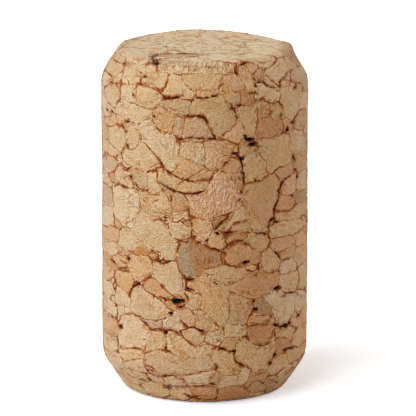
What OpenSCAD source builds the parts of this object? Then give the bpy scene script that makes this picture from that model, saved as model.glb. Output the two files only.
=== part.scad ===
// Agglomerated cork stopper: one moulded and ground plug of glued cork granules.
// A straight cylindrical body carries a bevel at each end. Its skin shows open crevices
// where granules meet badly, and small pits where a granule broke out.
//
// Frame: the origin is the centre of the base, +Z runs up the axis, and -Y is the front.
// All lengths are in millimetres and all angles in degrees.

/* [Body] */
// Diameter of the straight side, uncompressed
body_dia = 26; // [18:0.5:40]
// Length over both end faces
body_len = 43.6; // [30:0.2:70]

/* [Bevels] */
// How far the top bevel reaches down the side
top_bevel_len = 3.7; // [1.5:0.1:6]
// How far the top bevel stands in from the side at the end face
top_bevel_in = 2.4; // [1.2:0.1:4]
// How far the base bevel reaches up the side
base_bevel_len = 4.2; // [1.5:0.1:6]
// How far the base bevel stands in from the side at the end face
base_bevel_in = 2.8; // [1.2:0.1:4]
// Rounding where a bevel meets an end face
rim_radius = 1.2; // [0.2:0.1:1.8]
// Rounding where a bevel meets the straight side
shoulder_radius = 3.3; // [0.5:0.1:5]

/* [Granules] */
// Mean width of a granule across the skin
granule_size = 4.8; // [4.2:0.1:7]
// How far a granule's corner strays, as a share of the granule size
granule_stray = 0.16; // [0:0.01:0.2]
// Starting number of the granule pattern
granule_seed = 7; // [1:1:99]
// Width of the closed seam between two granules
seam_width = 0.25; // [0.1:0.05:0.4]
// Depth of the closed seam between two granules
seam_depth = 0.25; // [0.1:0.05:0.5]

/* [Crevices and pits] */
// Share of the seams off the front that stand open as crevices
crevice_share = 0.14; // [0.02:0.01:0.4]
// Widest crevice at the skin
crevice_width = 0.6; // [0.3:0.05:0.9]
// Deepest crevice
crevice_depth = 1; // [0.5:0.1:1.6]
// Share of the granules off the front that have lost a crumb
pit_share = 0.12; // [0.02:0.01:0.3]
// Widest pit at the skin
pit_width = 1.6; // [0.6:0.1:2.4]
// Deepest pit
pit_depth = 1.1; // [0.4:0.1:2]

/* [Hidden] */
$fn = 96;

side_r = body_dia / 2;
mm_per_degree = PI * side_r / 180;
// The cutting tools stand this far out of the skin, so that each cut opens cleanly.
lift = 0.25;
side_bottom = base_bevel_len;
side_top = body_len - top_bevel_len;
end_r_top = side_r - top_bevel_in;
end_r_base = side_r - base_bevel_in;

// Share of a seam that stays unbroken at each of its ends.
seam_gap = 0.05;

// The narrowest crevice off the front, as a share of the widest.
least_crevice = 0.6;

// The smallest pit off the front and the flattest, as shares of the widest and of a round one.
least_pit = 0.4;
flattest_pit = 0.5;

// A pit's rim is a polygon whose corners stray between two shares of its half width, and its
// lowest point strays from its centre by a share of its width.
pit_sides = 6;
pit_ragged = [0.7, 1.1];
pit_stray = 0.2;

// Each kind of pick takes its random numbers from a range of its own.
rise_key = 3000;
end_corner_key = 5000;
end_rise_key = 1000;
top_key = 10000;
base_key = 20000;
seam_key = 1000;
pit_key = 2000;

// Half of the front that is laid out by hand, to each side of the front line.
front_reach = 68;

// The open crevices of the front, each as its width and depth in shares of the widest
// and deepest, and the points it runs through. A point is degrees round from the front
// line and height in per cent of the length.
front_crevices = [
    [0.9, 0.9, [[-12, 85.5], [-6, 86], [0, 85.5], [3, 82.5], [6, 79.5]]],
    [0.5, 0.5, [[-14, 78.5], [-6, 79.5], [5, 79]]],
    [0.9, 0.8, [[-7, 90.5], [0, 91], [6, 91.5], [8, 92.5]]],
    [0.6, 0.6, [[-26, 92.5], [-22, 90.5], [-12, 91.5]]],
    [0.6, 0.8, [[-26, 66], [-21, 64.5], [-15, 63.5], [-7, 63.5], [1, 64.5]]],
    [0.5, 0.6, [[-24, 70.5], [-18, 68.5], [-10, 67], [3, 67.5]]],
    [1.0, 1.0, [[5, 53], [9, 51.5], [16, 52.5]]],
    [0.7, 0.8, [[6, 53.5], [12, 56.5]]],
    [0.6, 0.7, [[-30, 43], [-23, 42.5], [-16, 44]]],
    [0.8, 0.8, [[-11, 35.5], [-7, 35.5], [-2, 34.5]]],
    [0.5, 0.6, [[-12, 39], [-8, 38], [-3, 39]]],
    [0.7, 0.7, [[-37, 25], [-31, 22.5], [-21, 23], [-15, 22.5], [-10, 20], [-5, 19]]],
    [0.7, 0.6, [[-12, 26], [-7, 24], [2, 23]]],
    [0.9, 0.9, [[6, 18], [12, 17], [16, 16.5], [18, 13.5], [27, 10.5]]],
    [0.9, 1.0, [[23, 21.5], [28, 18], [34, 17], [39, 18]]],
    [1.0, 1.0, [[21, 80], [26, 78], [32, 75.5]]],
    [1.0, 1.0, [[42, 23], [49, 22], [57, 22.5]]],
    [0.7, 0.8, [[49, 15], [57, 14.5], [62, 14]]],
    [0.6, 0.6, [[29, 66.5], [34, 66], [37, 67.5]]],
    [0.9, 0.9, [[48, 65], [45, 62], [45, 59.5], [41, 57], [40, 54], [37, 51.5]]],
    [0.6, 0.7, [[30, 50.5], [36, 50], [39, 48], [37, 46.5]]],
    [0.6, 0.6, [[41, 45], [47, 41]]],
    [0.9, 0.8, [[15, 75], [20, 73], [21, 71]]],
    [0.9, 0.9, [[-51, 82], [-44, 82]]],
    [0.8, 0.9, [[-45, 31.5], [-44, 34.5], [-40, 35.5], [-35, 37], [-29, 39]]],
    [0.8, 0.7, [[-67, 22.5], [-60, 23]]],
    [0.7, 0.7, [[-26, 55], [-20, 55.5]]],
    [0.7, 0.7, [[31, 7], [38, 5]]],
    [0.8, 0.7, [[41, 6.5], [52, 4]]],
];

// The pits of the front: degrees round, height in per cent of the length, then width,
// height across the skin and depth in shares of the widest and deepest.
front_pits = [
    [-16, 31.5, 1.2, 0.7, 1.0],
    [-19, 28, 0.5, 0.4, 0.6],
    [26, 78, 0.9, 0.7, 1.0],
    [45, 33.5, 0.9, 0.5, 0.8],
    [42, 14, 0.45, 0.4, 0.7],
    [39, 12, 0.4, 0.4, 0.6],
    [23, 43, 0.7, 0.35, 0.6],
    [20, 97, 0.5, 0.4, 0.5],
    [-48, 75.5, 0.5, 0.8, 0.8],
    [-34, 7, 0.5, 0.3, 0.5],
    [-23, 4.5, 0.8, 0.3, 0.5],
    [-33, 98, 0.7, 0.5, 0.7],
    [53, 79.5, 0.8, 0.6, 0.5],
    [58, 70.5, 1.0, 0.6, 0.6],
    [63, 64.5, 0.5, 0.5, 0.5],
    [4, 7, 0.6, 0.3, 0.4],
];

// The granules are a honeycomb with strayed corners, wrapped round the side and both
// bevels, and laid flat on the end faces.
columns = max(6, round(PI * body_dia / granule_size));
side_indices = 2 * columns;
side_pitch = PI * body_dia / side_indices;
side_rows = max(3, round(body_len / (granule_size * sin(60))));
side_row_pitch = body_len / side_rows;
end_pitch = granule_size / 2;
end_row_pitch = granule_size * sin(60);
end_rows = 2 * ceil(side_r / end_row_pitch);
end_indices = 2 * ceil(side_r / end_pitch);

function mix(a, b, share) = a + (b - a) * share;
function unit(v) = v / norm(v);

// Radius of the skin at a height, along the side and both bevels.
function skin_r(h) =
    h < side_bottom ? mix(end_r_base, side_r, h / base_bevel_len)
    : h > side_top ? mix(end_r_top, side_r, (body_len - h) / top_bevel_len)
    : side_r;

// A skin function says how a flat point [across, up] and a distance out of the skin
// become a point in space. Side points run across by the arc length round the side.
on_side = function(p, out)
    let (r = skin_r(p[1]) + out, a = p[0] / mm_per_degree)
    [r * sin(a), -r * cos(a), p[1]];
on_top = function(p, out) [p[0], p[1], body_len + out];
on_base = function(p, out) [p[0], -p[1], -out];

// A honeycomb corner as a flat point. Corners run along each row in steps of the pitch,
// each a little above or below the row in turn.
function corner(row, index, pitch, row_pitch, key) =
    let (
        peak = (row + index) % 2 == 0 ? 1 : -1,
        stray = rands(-1, 1, 2, granule_seed + key)
    )
    [
        index * pitch + stray[0] * granule_stray * granule_size,
        row * row_pitch + peak * row_pitch / 6 + stray[1] * granule_stray * granule_size
    ];
function side_corner(row, index) =
    corner(row, index, side_pitch, side_row_pitch, row * side_indices + index % side_indices);
function end_corner(row, index) =
    corner(row, index, end_pitch, end_row_pitch, end_corner_key + row * end_indices + index)
    - [end_indices * end_pitch, end_rows * end_row_pitch] / 2;

// Whether a point round the side lies off the part of the front laid out by hand.
function off_front(p) =
    let (a = p[0] / mm_per_degree)
    a > front_reach && a < 360 - front_reach;

// A V-shaped cutting tool along a path, pointed at both ends. Each point between the ends
// has a ring of a left, a right and a keel point. A path of two points has one ring, halfway.
module groove(path, width, depth, skin) {
    last = len(path) - 1;
    spine = last == 1 ? [mix(path[0], path[1], 0.5)] : [for (i = [1 : last - 1]) path[i]];
    line = concat([path[0]], spine, [path[last]]);
    rings = len(spine);
    half = width / 2 * (1 + lift / depth);
    function left_of(i) = let (d = unit(line[i + 2] - line[i])) half * [-d[1], d[0]];
    points = concat(
        [skin(path[0], lift)],
        [for (i = [0 : rings - 1]) each [
            skin(spine[i] + left_of(i), lift),
            skin(spine[i] - left_of(i), lift),
            skin(spine[i], -depth)
        ]],
        [skin(path[last], lift)]
    );
    tip = 3 * rings + 1;
    faces = concat(
        [for (j = [0 : 2]) [0, 1 + j, 1 + (j + 1) % 3]],
        [for (i = [0 : 1 : rings - 2], j = [0 : 2]) each let (
            a = 1 + 3 * i + j,
            b = 1 + 3 * i + (j + 1) % 3
        ) [[a, a + 3, b + 3], [a, b + 3, b]]],
        [for (j = [0 : 2]) [tip, tip - 3 + (j + 1) % 3, tip - 3 + j]]
    );
    polyhedron(points, faces);
}

// A cutting tool for a pit: a ragged rim with its lowest point off centre.
module pit(centre, width, height, depth, skin, seed) {
    ragged = rands(pit_ragged[0], pit_ragged[1], pit_sides, seed);
    shift = rands(-pit_stray, pit_stray, 2, seed + 1);
    flare = 1 + lift / depth;
    turn = 360 / pit_sides;
    points = concat(
        [for (i = [0 : pit_sides - 1]) skin(
            centre + flare / 2 * ragged[i] * [width * cos(i * turn), height * sin(i * turn)],
            lift
        )],
        [skin(centre + [shift[0] * width, shift[1] * height], -depth)]
    );
    faces = concat(
        [[for (i = [pit_sides - 1 : -1 : 0]) i]],
        [for (i = [0 : pit_sides - 1]) [i, (i + 1) % pit_sides, pit_sides]]
    );
    polyhedron(points, faces);
}

// What rounds one outline corner off: the corner's tip beyond a circle tangent to both sides.
module corner_tip(before, corner, after, radius) {
    u = unit(before - corner);
    v = unit(after - corner);
    half_angle = acos(u * v) / 2;
    inward = unit(u + v);
    reach = radius / tan(half_angle);
    difference() {
        polygon([corner - inward * lift, corner + u * reach, corner + v * reach]);
        translate(corner + inward * radius / sin(half_angle)) circle(radius);
    }
}

// Half of the section through the axis, with both bevels and their rounded edges.
module half_section() {
    outline = [
        [0, 0],
        [end_r_base, 0],
        [side_r, side_bottom],
        [side_r, side_top],
        [end_r_top, body_len],
        [0, body_len]
    ];
    radii = [rim_radius, shoulder_radius, shoulder_radius, rim_radius];
    difference() {
        polygon(outline);
        for (i = [1 : 4]) corner_tip(outline[i - 1], outline[i], outline[i + 1], radii[i - 1]);
    }
}

// The open crevices and pits of the front, laid out by hand.
module front_damage() {
    for (crevice = front_crevices)
        groove(
            [for (p = crevice[2]) [p[0] * mm_per_degree, p[1] / 100 * body_len]],
            crevice[0] * crevice_width,
            crevice[1] * crevice_depth,
            on_side
        );
    for (i = [0 : len(front_pits) - 1])
        let (p = front_pits[i])
        pit(
            [p[0] * mm_per_degree, p[1] / 100 * body_len],
            p[2] * pit_width,
            p[3] * pit_width,
            p[4] * pit_depth,
            on_side,
            granule_seed + i
        );
}

// One seam between two granules: closed, or open as a crevice where it may be.
module seam(from, to, may_open, skin, key) {
    picks = rands(0, 1, 2, granule_seed * seam_key + key);
    opens = may_open && picks[0] < crevice_share;
    size = opens ? mix(least_crevice, 1, picks[1]) : 1;
    groove(
        [mix(from, to, seam_gap), mix(to, from, seam_gap)],
        size * (opens ? crevice_width : seam_width),
        size * (opens ? crevice_depth : seam_depth),
        skin
    );
}

// The seams round the side and both bevels. Each corner starts the seam across to the
// next corner, and every second one starts the seam up to the next row.
module side_seams() {
    for (row = [1 : side_rows - 1], index = [0 : side_indices - 1]) {
        from = side_corner(row, index);
        key = row * side_indices + index;
        seam(from, side_corner(row, index + 1), off_front(from), on_side, key);
        if ((row + index) % 2 == 0 && row < side_rows - 1)
            seam(from, side_corner(row + 1, index), off_front(from), on_side, key + rise_key);
    }
}

// The seams of one end face, as far out as its rounded rim.
module end_seams(end_r, skin, key) {
    reach = end_r - rim_radius;
    for (row = [0 : end_rows], index = [0 : end_indices]) {
        from = end_corner(row, index);
        across = end_corner(row, index + 1);
        up = end_corner(row + 1, index);
        own_key = key + row * end_indices + index;
        if (max(norm(from), norm(across)) < reach)
            seam(from, across, true, skin, own_key);
        if ((row + index) % 2 == 0 && max(norm(from), norm(up)) < reach)
            seam(from, up, true, skin, own_key + end_rise_key);
    }
}

// The pits off the front, each at the foot of a granule that the seed picks.
module side_pits() {
    for (row = [1 : side_rows - 1], index = [0 : 2 : side_indices - 1]) {
        foot = side_corner(row, index);
        picks = rands(0, 1, 3, granule_seed * pit_key + row * side_indices + index);
        size = mix(least_pit, 1, picks[1]);
        if (picks[0] < pit_share && off_front(foot))
            pit(
                foot,
                size * pit_width,
                size * pit_width * mix(flattest_pit, 1, picks[2]),
                size * pit_depth,
                on_side,
                granule_seed + row + index
            );
    }
}

// One piece: the bevelled plug with its crevices and pits.
module stopper() {
    color("#c9a67c")
        difference() {
            rotate_extrude() half_section();
            side_seams();
            end_seams(end_r_top, on_top, top_key);
            end_seams(end_r_base, on_base, base_key);
            side_pits();
            front_damage();
        }
}

stopper();
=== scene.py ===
"""Dress the cork stopper: a skin of glued granules over the ground plug, in a plain studio.

Every length is in millimetres until a mesh, lamp or camera is made, which then takes metres.
The front of the plug is -Y. Places on the side are an angle round from the front line, in
degrees towards +X, and a height above the base. Places on the top face are millimetres right
and back from its middle. Lines and outlines list their places' numbers one after the other.
"""

import logging
import math
from dataclasses import dataclass, field
from enum import Enum

import bpy
import numpy as np
from bpy.types import Material, Mesh, Node, NodeSocket, NodeTree, Object
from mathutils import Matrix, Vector

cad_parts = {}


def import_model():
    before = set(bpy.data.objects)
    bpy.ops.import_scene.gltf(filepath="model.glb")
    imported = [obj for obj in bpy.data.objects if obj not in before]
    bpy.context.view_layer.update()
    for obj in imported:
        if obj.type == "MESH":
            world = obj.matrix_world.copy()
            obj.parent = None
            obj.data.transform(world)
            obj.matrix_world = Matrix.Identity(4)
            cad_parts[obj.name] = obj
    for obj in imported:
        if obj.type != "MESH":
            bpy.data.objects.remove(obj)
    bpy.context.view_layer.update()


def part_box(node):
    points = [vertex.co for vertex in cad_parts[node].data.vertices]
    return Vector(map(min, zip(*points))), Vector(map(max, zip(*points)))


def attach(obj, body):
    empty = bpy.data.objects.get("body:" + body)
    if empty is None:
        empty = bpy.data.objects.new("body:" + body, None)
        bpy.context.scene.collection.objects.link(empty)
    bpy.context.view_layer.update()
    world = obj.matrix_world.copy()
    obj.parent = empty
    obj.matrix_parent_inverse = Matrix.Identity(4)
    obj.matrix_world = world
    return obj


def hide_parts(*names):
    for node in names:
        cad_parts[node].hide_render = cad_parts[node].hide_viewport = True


LOG = logging.getLogger("stopper")
MM = 0.001

Array = np.ndarray
Places = tuple[float, ...]
Triple = tuple[float, float, float]
Source = Node | NodeSocket | float
Paint = Node | NodeSocket | tuple[float, ...]


class Tone(Enum):
    """The body colours that ground cork granules come in, as sRGB hex."""

    PALE = "#ceac84"
    CREAM = "#caa57a"
    STRAW = "#caa376"
    TAN = "#c99e6e"
    HONEY = "#c79b6a"
    ROSE = "#ce9f72"
    CLAY = "#c49566"
    RUST = "#c59061"
    BARK = "#bf9365"
    OLIVE = "#ae8459"
    AMBER = "#be8a54"
    BLUSH = "#d9a57a"
    DUN = "#be9870"
    EMBER = "#bd8758"
    UMBER = "#aa7c52"
    SLATE = "#a98763"
    MILK = "#d6ae82"


class Habit(Enum):
    """How a granule's cut face is marked: shares of wrinkles, speckles and streaks."""

    PLAIN = (0.15, 0.35, 0.4)
    WRINKLED = (1.0, 0.2, 0.2)
    SPECKLED = (0.2, 1.0, 0.4)
    STREAKED = (0.1, 0.3, 1.0)
    RIPPLED = (1.9, 0.1, 0.1)


@dataclass(frozen=True)
class Granule:
    """One granule by its outline, and how far its grain is turned up from level, in degrees."""

    tone: Tone
    outline: Places
    habit: Habit = Habit.PLAIN
    lean: float | None = None


@dataclass(frozen=True)
class Crevice:
    """An open gap between granules, along a line."""

    width: float
    depth: float
    line: Places


@dataclass(frozen=True)
class Seam:
    """A thin line of glue inside or between granules, and how strongly it shows."""

    strength: float
    line: Places


@dataclass(frozen=True)
class Stain:
    """A patch of rust-red bark dust on the side."""

    angle: float
    height: float
    across: float
    tall: float


@dataclass(frozen=True)
class Bulge:
    """A swelling or a hollow of the whole skin, at an angle and a run."""

    angle: float
    run: float
    across: float
    down: float
    rise: float


@dataclass(frozen=True)
class Pit:
    """A small hole where a granule broke out of the side."""

    angle: float
    height: float
    across: float
    tall: float
    depth: float


FRONT_GRANULES: tuple[Granule, ...] = tuple(Granule(*row) for row in (
    # Middle of the front, from the top bevel down.
    (Tone.MILK, (-32, 43.5, -31.5, 42.8, -29, 42.2, -22, 42.3, -14, 42.4, 0, 42.5, 10, 42.4, 19, 42.6,
        20.5, 43.2, 17, 43.5, 0, 43.6), Habit.RIPPLED, 62),
    (Tone.TAN, (-14, 42.3, -13, 41.8, -6, 40.7, 4, 40.7, 8.5, 41.2, 10, 42.2, 0, 42.3)),
    (Tone.CREAM, (-24, 40.2, -24, 42.1, -15, 42.1, -13, 41.5, -6, 40.5, -6, 39.8, -19, 39.9)),
    (Tone.HONEY, (-5, 40.6, 5, 40.6, 6, 40, 0, 39.8, -5, 39.8)),
    (Tone.DUN, (-24, 39.2, -16, 39.5, -8, 39.3, -9, 38.2, -11, 37.9, -17, 37.8, -24, 38.5)),
    (Tone.HONEY, (-7, 39.3, 7, 39.8, 12, 39, 16, 38.2, 17.5, 37, 14.5, 35.5, 6, 34.9, 3.5, 35.9, 1.5, 37.6,
        -8, 37.9), Habit.SPECKLED),
    (Tone.DUN, (-11.5, 37.2, 0, 37, 2, 36, 5, 34.6, -6, 34.5, -13, 34.4, -12, 36)),
    (Tone.DUN, (-17, 37.2, -12, 37.3, -12.5, 36, -13.5, 34.5, -17.5, 35.2)),
    (Tone.HONEY, (-28.5, 37.6, -26, 38.3, -22, 38.1, -18.5, 37.6, -17.5, 36.4, -19, 35.3, -23, 35,
        -27, 35.6, -29.5, 36.6), Habit.SPECKLED),
    (Tone.PALE, (-38.5, 35.6, -34, 36.4, -30, 36.4, -27, 35.3, -23, 34.8, -18, 35, -14.5, 34.3, -14, 32.5,
        -15.5, 31, -19, 30.3, -24, 31.2, -29, 32.6, -36, 33.6)),
    (Tone.CREAM, (-13.5, 34.1, -1, 34, 0, 33, -2, 31.6, -10, 31.9, -14, 32.2), Habit.WRINKLED),
    (Tone.ROSE, (0, 34.1, 5, 34.2, 9, 33.3, 10, 32.2, 7, 31, 3.5, 30.8, 0, 32), Habit.WRINKLED),
    (Tone.HONEY, (-19, 30.2, -13, 31.9, -8, 31.8, -4, 31.2, 3, 30.5, 2, 29.6, -9, 29.3, -13, 29.6),
        Habit.STREAKED),
    (Tone.TAN, (-27, 30.4, -24, 30.5, -19, 29.8, -13, 29.3, -15.5, 28, -20, 28.2, -26, 28.9)),
    (Tone.TAN, (-12.5, 29.4, -6, 29.1, 2, 29.3, 0, 28, -3, 27.8, -9, 27.7, -15, 27.9)),
    (Tone.BARK, (-20, 28, -15, 27.6, -11, 27.3, -9, 26.2, -12, 25.5, -17, 25.3, -18.5, 26.5)),
    (Tone.BLUSH, (-10, 27.3, 0, 27.8, 3, 29.5, 8, 30.2, 13, 30, 17, 28.8, 18.5, 27.5, 18.5, 26, 16, 25.5,
        9, 25.6, 3, 24.3, -2, 24.1, -8, 25, -9, 26.2), Habit.RIPPLED, 78),
    (Tone.PALE, (-17, 25, -9, 25.5, -8, 24.4, -12, 24.3, -16, 24)),
    (Tone.CREAM, (-19, 23.9, -12, 23.8, -8, 22.9, -13, 21.9, -19, 22)),
    (Tone.ROSE, (-7.5, 24.3, -2, 24.6, 2, 24, 3, 23, -2, 22.6, -5, 22.6)),
    (Tone.MILK, (-3, 22.3, 3, 22.8, 3, 22, 0.5, 21.2, -3, 21.4)),
    (Tone.ROSE, (3, 22.7, 5, 22.9, 10, 22.2, 14, 22, 12, 21, 7, 20.6, 2, 21)),
    (Tone.SLATE, (-15, 20.7, -12.5, 21.4, -8, 21.3, -8, 19.9, -6.8, 18.2, -5.5, 17, -11, 17, -14, 18,
        -15.5, 19.3), Habit.SPECKLED),
    (Tone.UMBER, (-8, 21.3, -4, 21.2, 1, 20.7, 5, 20.4, 9, 20, 10, 19, 8, 18.3, 1, 18.1, -3, 17.2, -5.5, 17,
        -6.8, 18.2, -8, 19.9), Habit.STREAKED, 60),
    (Tone.CREAM, (-29, 18.5, -22, 18.3, -16, 18.8, -15, 17.8, -12.5, 16.8, -12.5, 15, -15, 14.6, -19, 14.8,
        -23, 15.6, -29.5, 16.7)),
    (Tone.ROSE, (-9, 16.6, -4, 17, 2, 16.6, 5, 16, 0, 15.2, -4, 15, -8, 15.6)),
    (Tone.CREAM, (-10, 15, -5, 14.6, -2, 15, -1, 14, -2.5, 13, -6, 12.9, -9, 13.6)),
    (Tone.HONEY, (-1, 15, 3, 15.7, 9, 15.9, 13, 15.7, 13.5, 12, 11, 11, 7, 10.9, 3, 12.2, -1.5, 13),
        Habit.SPECKLED),
    (Tone.HONEY, (0, 17.9, 8, 18.2, 20, 18.1, 25, 17.4, 24, 16.9, 17, 16.4, 9, 16, 1, 17.2)),
    (Tone.ROSE, (-12.5, 12.7, -7, 12.9, -5, 11.4, -9, 11, -12, 11.5), Habit.STREAKED),
    (Tone.HONEY, (-6, 12.7, 0, 12.7, 5, 11.4, 7.5, 10.5, 3, 10.1, -1, 10.3, -4.5, 11), Habit.WRINKLED),
    (Tone.PALE, (-24, 10.3, -22, 11.3, -17, 11.7, -14, 11, -11, 10.3, -16, 10.2)),
    (Tone.STRAW, (-11.5, 10.1, -2, 9.8, -0.5, 9, -3, 8.4, -7, 8.4, -11, 9.3), Habit.STREAKED),
    (Tone.PALE, (-0.3, 9.9, 5, 10, 10, 10.3, 10.5, 9.4, 7, 8.7, 4.5, 8.3, 0, 8.8), Habit.WRINKLED),
    (Tone.CREAM, (-22, 9.8, -16, 9.9, -13, 9.3, -10, 8.7, -5, 8.1, 4, 8, 4.5, 7.2, -2, 6.8, -10, 6.7,
        -18, 7, -21, 7.6), Habit.STREAKED),
    (Tone.DUN, (-35.5, 5.7, -33, 6.6, -27, 7.3, -20, 7.1, -14, 6.5, -6, 6.6, 2, 6.9, 4, 6.4, 5.5, 5.4,
        1, 4.9, -5, 4.6, -13, 4.3, -26, 4.1, -32, 5), Habit.STREAKED),
    (Tone.TAN, (4.5, 7.6, 9, 7.6, 15, 7, 16.5, 6, 21, 5.2, 19.5, 4.5, 13, 4.4, 5.8, 5.2, 4.3, 6.5),
        Habit.SPECKLED),
    (Tone.PALE, (-12, 4.1, -4, 4.5, 3, 4.8, 6, 4.6, 3, 3.9, 1, 3.2, -10, 3.1)),
    (Tone.BARK, (6.5, 4.5, 3, 3.6, 1.5, 3, 6, 2.9, 8.5, 3.3, 8.5, 4.2)),
    (Tone.STRAW, (9, 4.2, 14, 4.2, 19.5, 3.9, 20, 2.8, 15, 2.5, 9, 2.4)),
    (Tone.EMBER, (8, 2.1, 14, 2.3, 21, 2.4, 24, 1.8, 29, 1.3, 31, 0.6, 9, 0.3)),
    (Tone.PALE, (-24, 3.9, -16, 4, -12, 3.7, -11, 2.8, -16, 2.5, -22, 2.6)),
    (Tone.MILK, (-21, 1.9, -14, 2.3, -9, 2, -9, 1.2, -12, 0.6, -20, 0.5, -22, 1)),
    (Tone.RUST, (-8, 2.3, 1, 2.6, 7, 2.2, 7.5, 1.2, 2, 0.6, -7, 0.7)),
    # Right of the middle, from the top bevel down.
    (Tone.CLAY, (11, 42, 19, 42.2, 22, 41.5, 23, 40.7, 17, 40.5, 10, 40.6, 9, 41.3), Habit.WRINKLED),
    (Tone.TAN, (20, 42.5, 22.5, 43.2, 27, 43.2, 30, 42, 29.5, 40.8, 27.5, 40.1, 24.5, 40.2, 23.5, 41.2),
        Habit.SPECKLED),
    (Tone.HONEY, (28, 43.3, 34, 43.4, 36, 42.7, 33, 42.3, 30.5, 42)),
    (Tone.BARK, (31.5, 41.9, 35, 42.2, 39, 42.6, 36, 41.5, 33, 41.2)),
    (Tone.PALE, (31, 40.8, 34, 41, 37, 40.5, 42, 40.1, 44, 39.4, 42, 38.6, 37, 38.7, 33.5, 39.4, 29, 39,
        28, 39.5, 30, 40.4)),
    (Tone.CREAM, (38, 41, 42, 42.2, 52, 42.6, 62, 42.4, 62, 41.4, 50, 40.9, 44, 40.2), Habit.SPECKLED),
    (Tone.BARK, (12, 40, 16, 40.2, 20, 40.1, 19.5, 39.2, 16, 38.8, 12.5, 39.3)),
    (Tone.EMBER, (20.5, 40.2, 24, 40, 28, 39.6, 27.5, 38.9, 24, 38.6, 20.5, 38.8)),
    (Tone.TAN, (17.5, 38.4, 25, 38.4, 29, 38.8, 30, 38, 30, 36.6, 28, 35.3, 27.5, 34.6, 24, 34.9,
        22.5, 35.2, 21, 36.6, 18.5, 36.9), Habit.SPECKLED),
    (Tone.ROSE, (11, 34.9, 14, 35.6, 18, 36.5, 21.5, 36.3, 22.5, 35, 21.5, 34.4, 18, 33.8)),
    (Tone.STRAW, (30.5, 38.7, 34, 39, 36.5, 38.4, 36.5, 37.2, 33, 36.8, 31, 37), Habit.STREAKED),
    (Tone.HONEY, (38, 38, 42, 38.2, 46, 37.8, 48, 37, 47, 36.3, 42, 36.2, 38.5, 36.5)),
    (Tone.EMBER, (30.3, 36.5, 36, 36.7, 46, 36, 48, 35.2, 45, 34.3, 38, 34.2, 32, 34.2, 28.8, 34.8),
        Habit.STREAKED),
    (Tone.TAN, (29.5, 33.9, 38, 34, 53, 34, 55.5, 32.5, 54, 30.8, 50, 30.3, 44, 30.1, 40, 29.7, 37, 29.8,
        36.5, 31, 33, 31.6, 31.5, 32.8)),
    (Tone.CLAY, (20, 33.9, 23, 33.6, 26, 33.1, 29, 32.9, 28.5, 32.3, 25, 32.6, 22, 31.9, 19.5, 32.5)),
    (Tone.TAN, (21.5, 31.8, 25, 32.5, 28.5, 32.2, 31, 32.4, 34, 31.6, 36, 30.8, 36, 29.6, 33, 29, 28, 28.8,
        23, 28.8, 22, 30.4)),
    (Tone.HONEY, (9, 33.9, 14, 33.9, 18, 33.4, 17, 32.6, 12, 32.3, 9, 32.6)),
    (Tone.RUST, (10, 32, 15, 32.1, 18.5, 31.6, 20.5, 31, 19, 30.3, 12, 30.2, 9.5, 31), Habit.SPECKLED),
    (Tone.CLAY, (14.5, 29.9, 18, 30, 21.5, 29.6, 22, 28.7, 19.5, 28.3, 16, 28.7), Habit.STREAKED),
    (Tone.CLAY, (23.5, 28.5, 30, 28.5, 36, 28.9, 42, 29, 45, 28.3, 44, 27, 43.5, 26, 40.5, 25.2, 40, 24,
        37, 23.3, 33, 23.5, 29.5, 24.5, 26, 25.3, 25, 26.5, 22.5, 27.3)),
    (Tone.CREAM, (13.5, 24.4, 16, 25.2, 19, 25.4, 21.5, 24.8, 23.5, 24.3, 19, 23.9, 15, 23.5, 11, 23)),
    (Tone.HONEY, (14, 23.1, 19, 23.7, 24, 23.9, 25.5, 23.2, 23, 22.6, 17, 22.7)),
    (Tone.HONEY, (25.5, 25, 29, 24.4, 32, 23.5, 35, 23.1, 34.5, 22.3, 30, 22.4, 27, 22.6, 26, 23.6),
        Habit.STREAKED),
    (Tone.HONEY, (26, 22.2, 30, 22, 35.5, 21.7, 38, 21, 37, 20.2, 34, 19.8, 29, 20.1, 25, 20.8, 22.5, 21.3),
        Habit.STREAKED),
    (Tone.EMBER, (9, 22, 14, 22.2, 20, 22.1, 23, 22.3, 22, 21.7, 18, 21.8, 12, 21)),
    (Tone.RUST, (12, 20.3, 16, 21.2, 20, 21.3, 25, 20.6, 29, 20, 33, 19.7, 33, 18.8, 29, 18.5, 20, 18.3,
        14, 18.6, 11, 19.3), Habit.SPECKLED),
    (Tone.ROSE, (34, 19.6, 38, 19.9, 42, 19.3, 44.5, 18.6, 47, 17.9, 44, 17.2, 40, 16.9, 36, 17.2,
        33.5, 17.8)),
    (Tone.RUST, (14, 16, 20, 16.5, 26, 17, 31, 17.3, 36, 16.9, 45, 16.6, 45, 15.4, 42, 14.9, 37, 14.5,
        31, 13.9, 25, 14, 20, 14.6, 15, 15.2), Habit.STREAKED),
    (Tone.OLIVE, (29.5, 13.7, 33, 13.7, 37, 13, 40, 12.2, 39, 11.7, 33, 11.7, 29.8, 12.2)),
    (Tone.CLAY, (15, 14.8, 20, 14.3, 26, 13.6, 26, 12.6, 27, 11.9, 24, 11, 13, 11.1, 14, 12.5),
        Habit.WRINKLED),
    (Tone.PALE, (38, 14.3, 45, 14.1, 53, 13.6, 60, 13.2, 61, 12, 57, 10.8, 50, 10, 45, 10.2, 42, 11.2,
        40.5, 12.3, 37, 13.4)),
    (Tone.CLAY, (26, 12, 31, 11.7, 36, 11.5, 38.5, 11, 36, 10.3, 31, 10.5, 25, 10.5)),
    (Tone.STRAW, (10, 10.3, 16, 10.6, 21, 10.5, 23.5, 10, 22.5, 9.4, 16, 9.3, 11, 9.4)),
    (Tone.CLAY, (11, 9.1, 17, 9.1, 21, 9, 18, 8.2, 16.5, 7.5, 12, 7.7, 10, 8.2)),
    (Tone.EMBER, (25, 10.1, 31, 10.2, 36, 10, 41, 9.7, 41, 8.8, 38.5, 8.2, 34, 7.9, 29, 8.3, 26, 9.2)),
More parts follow.
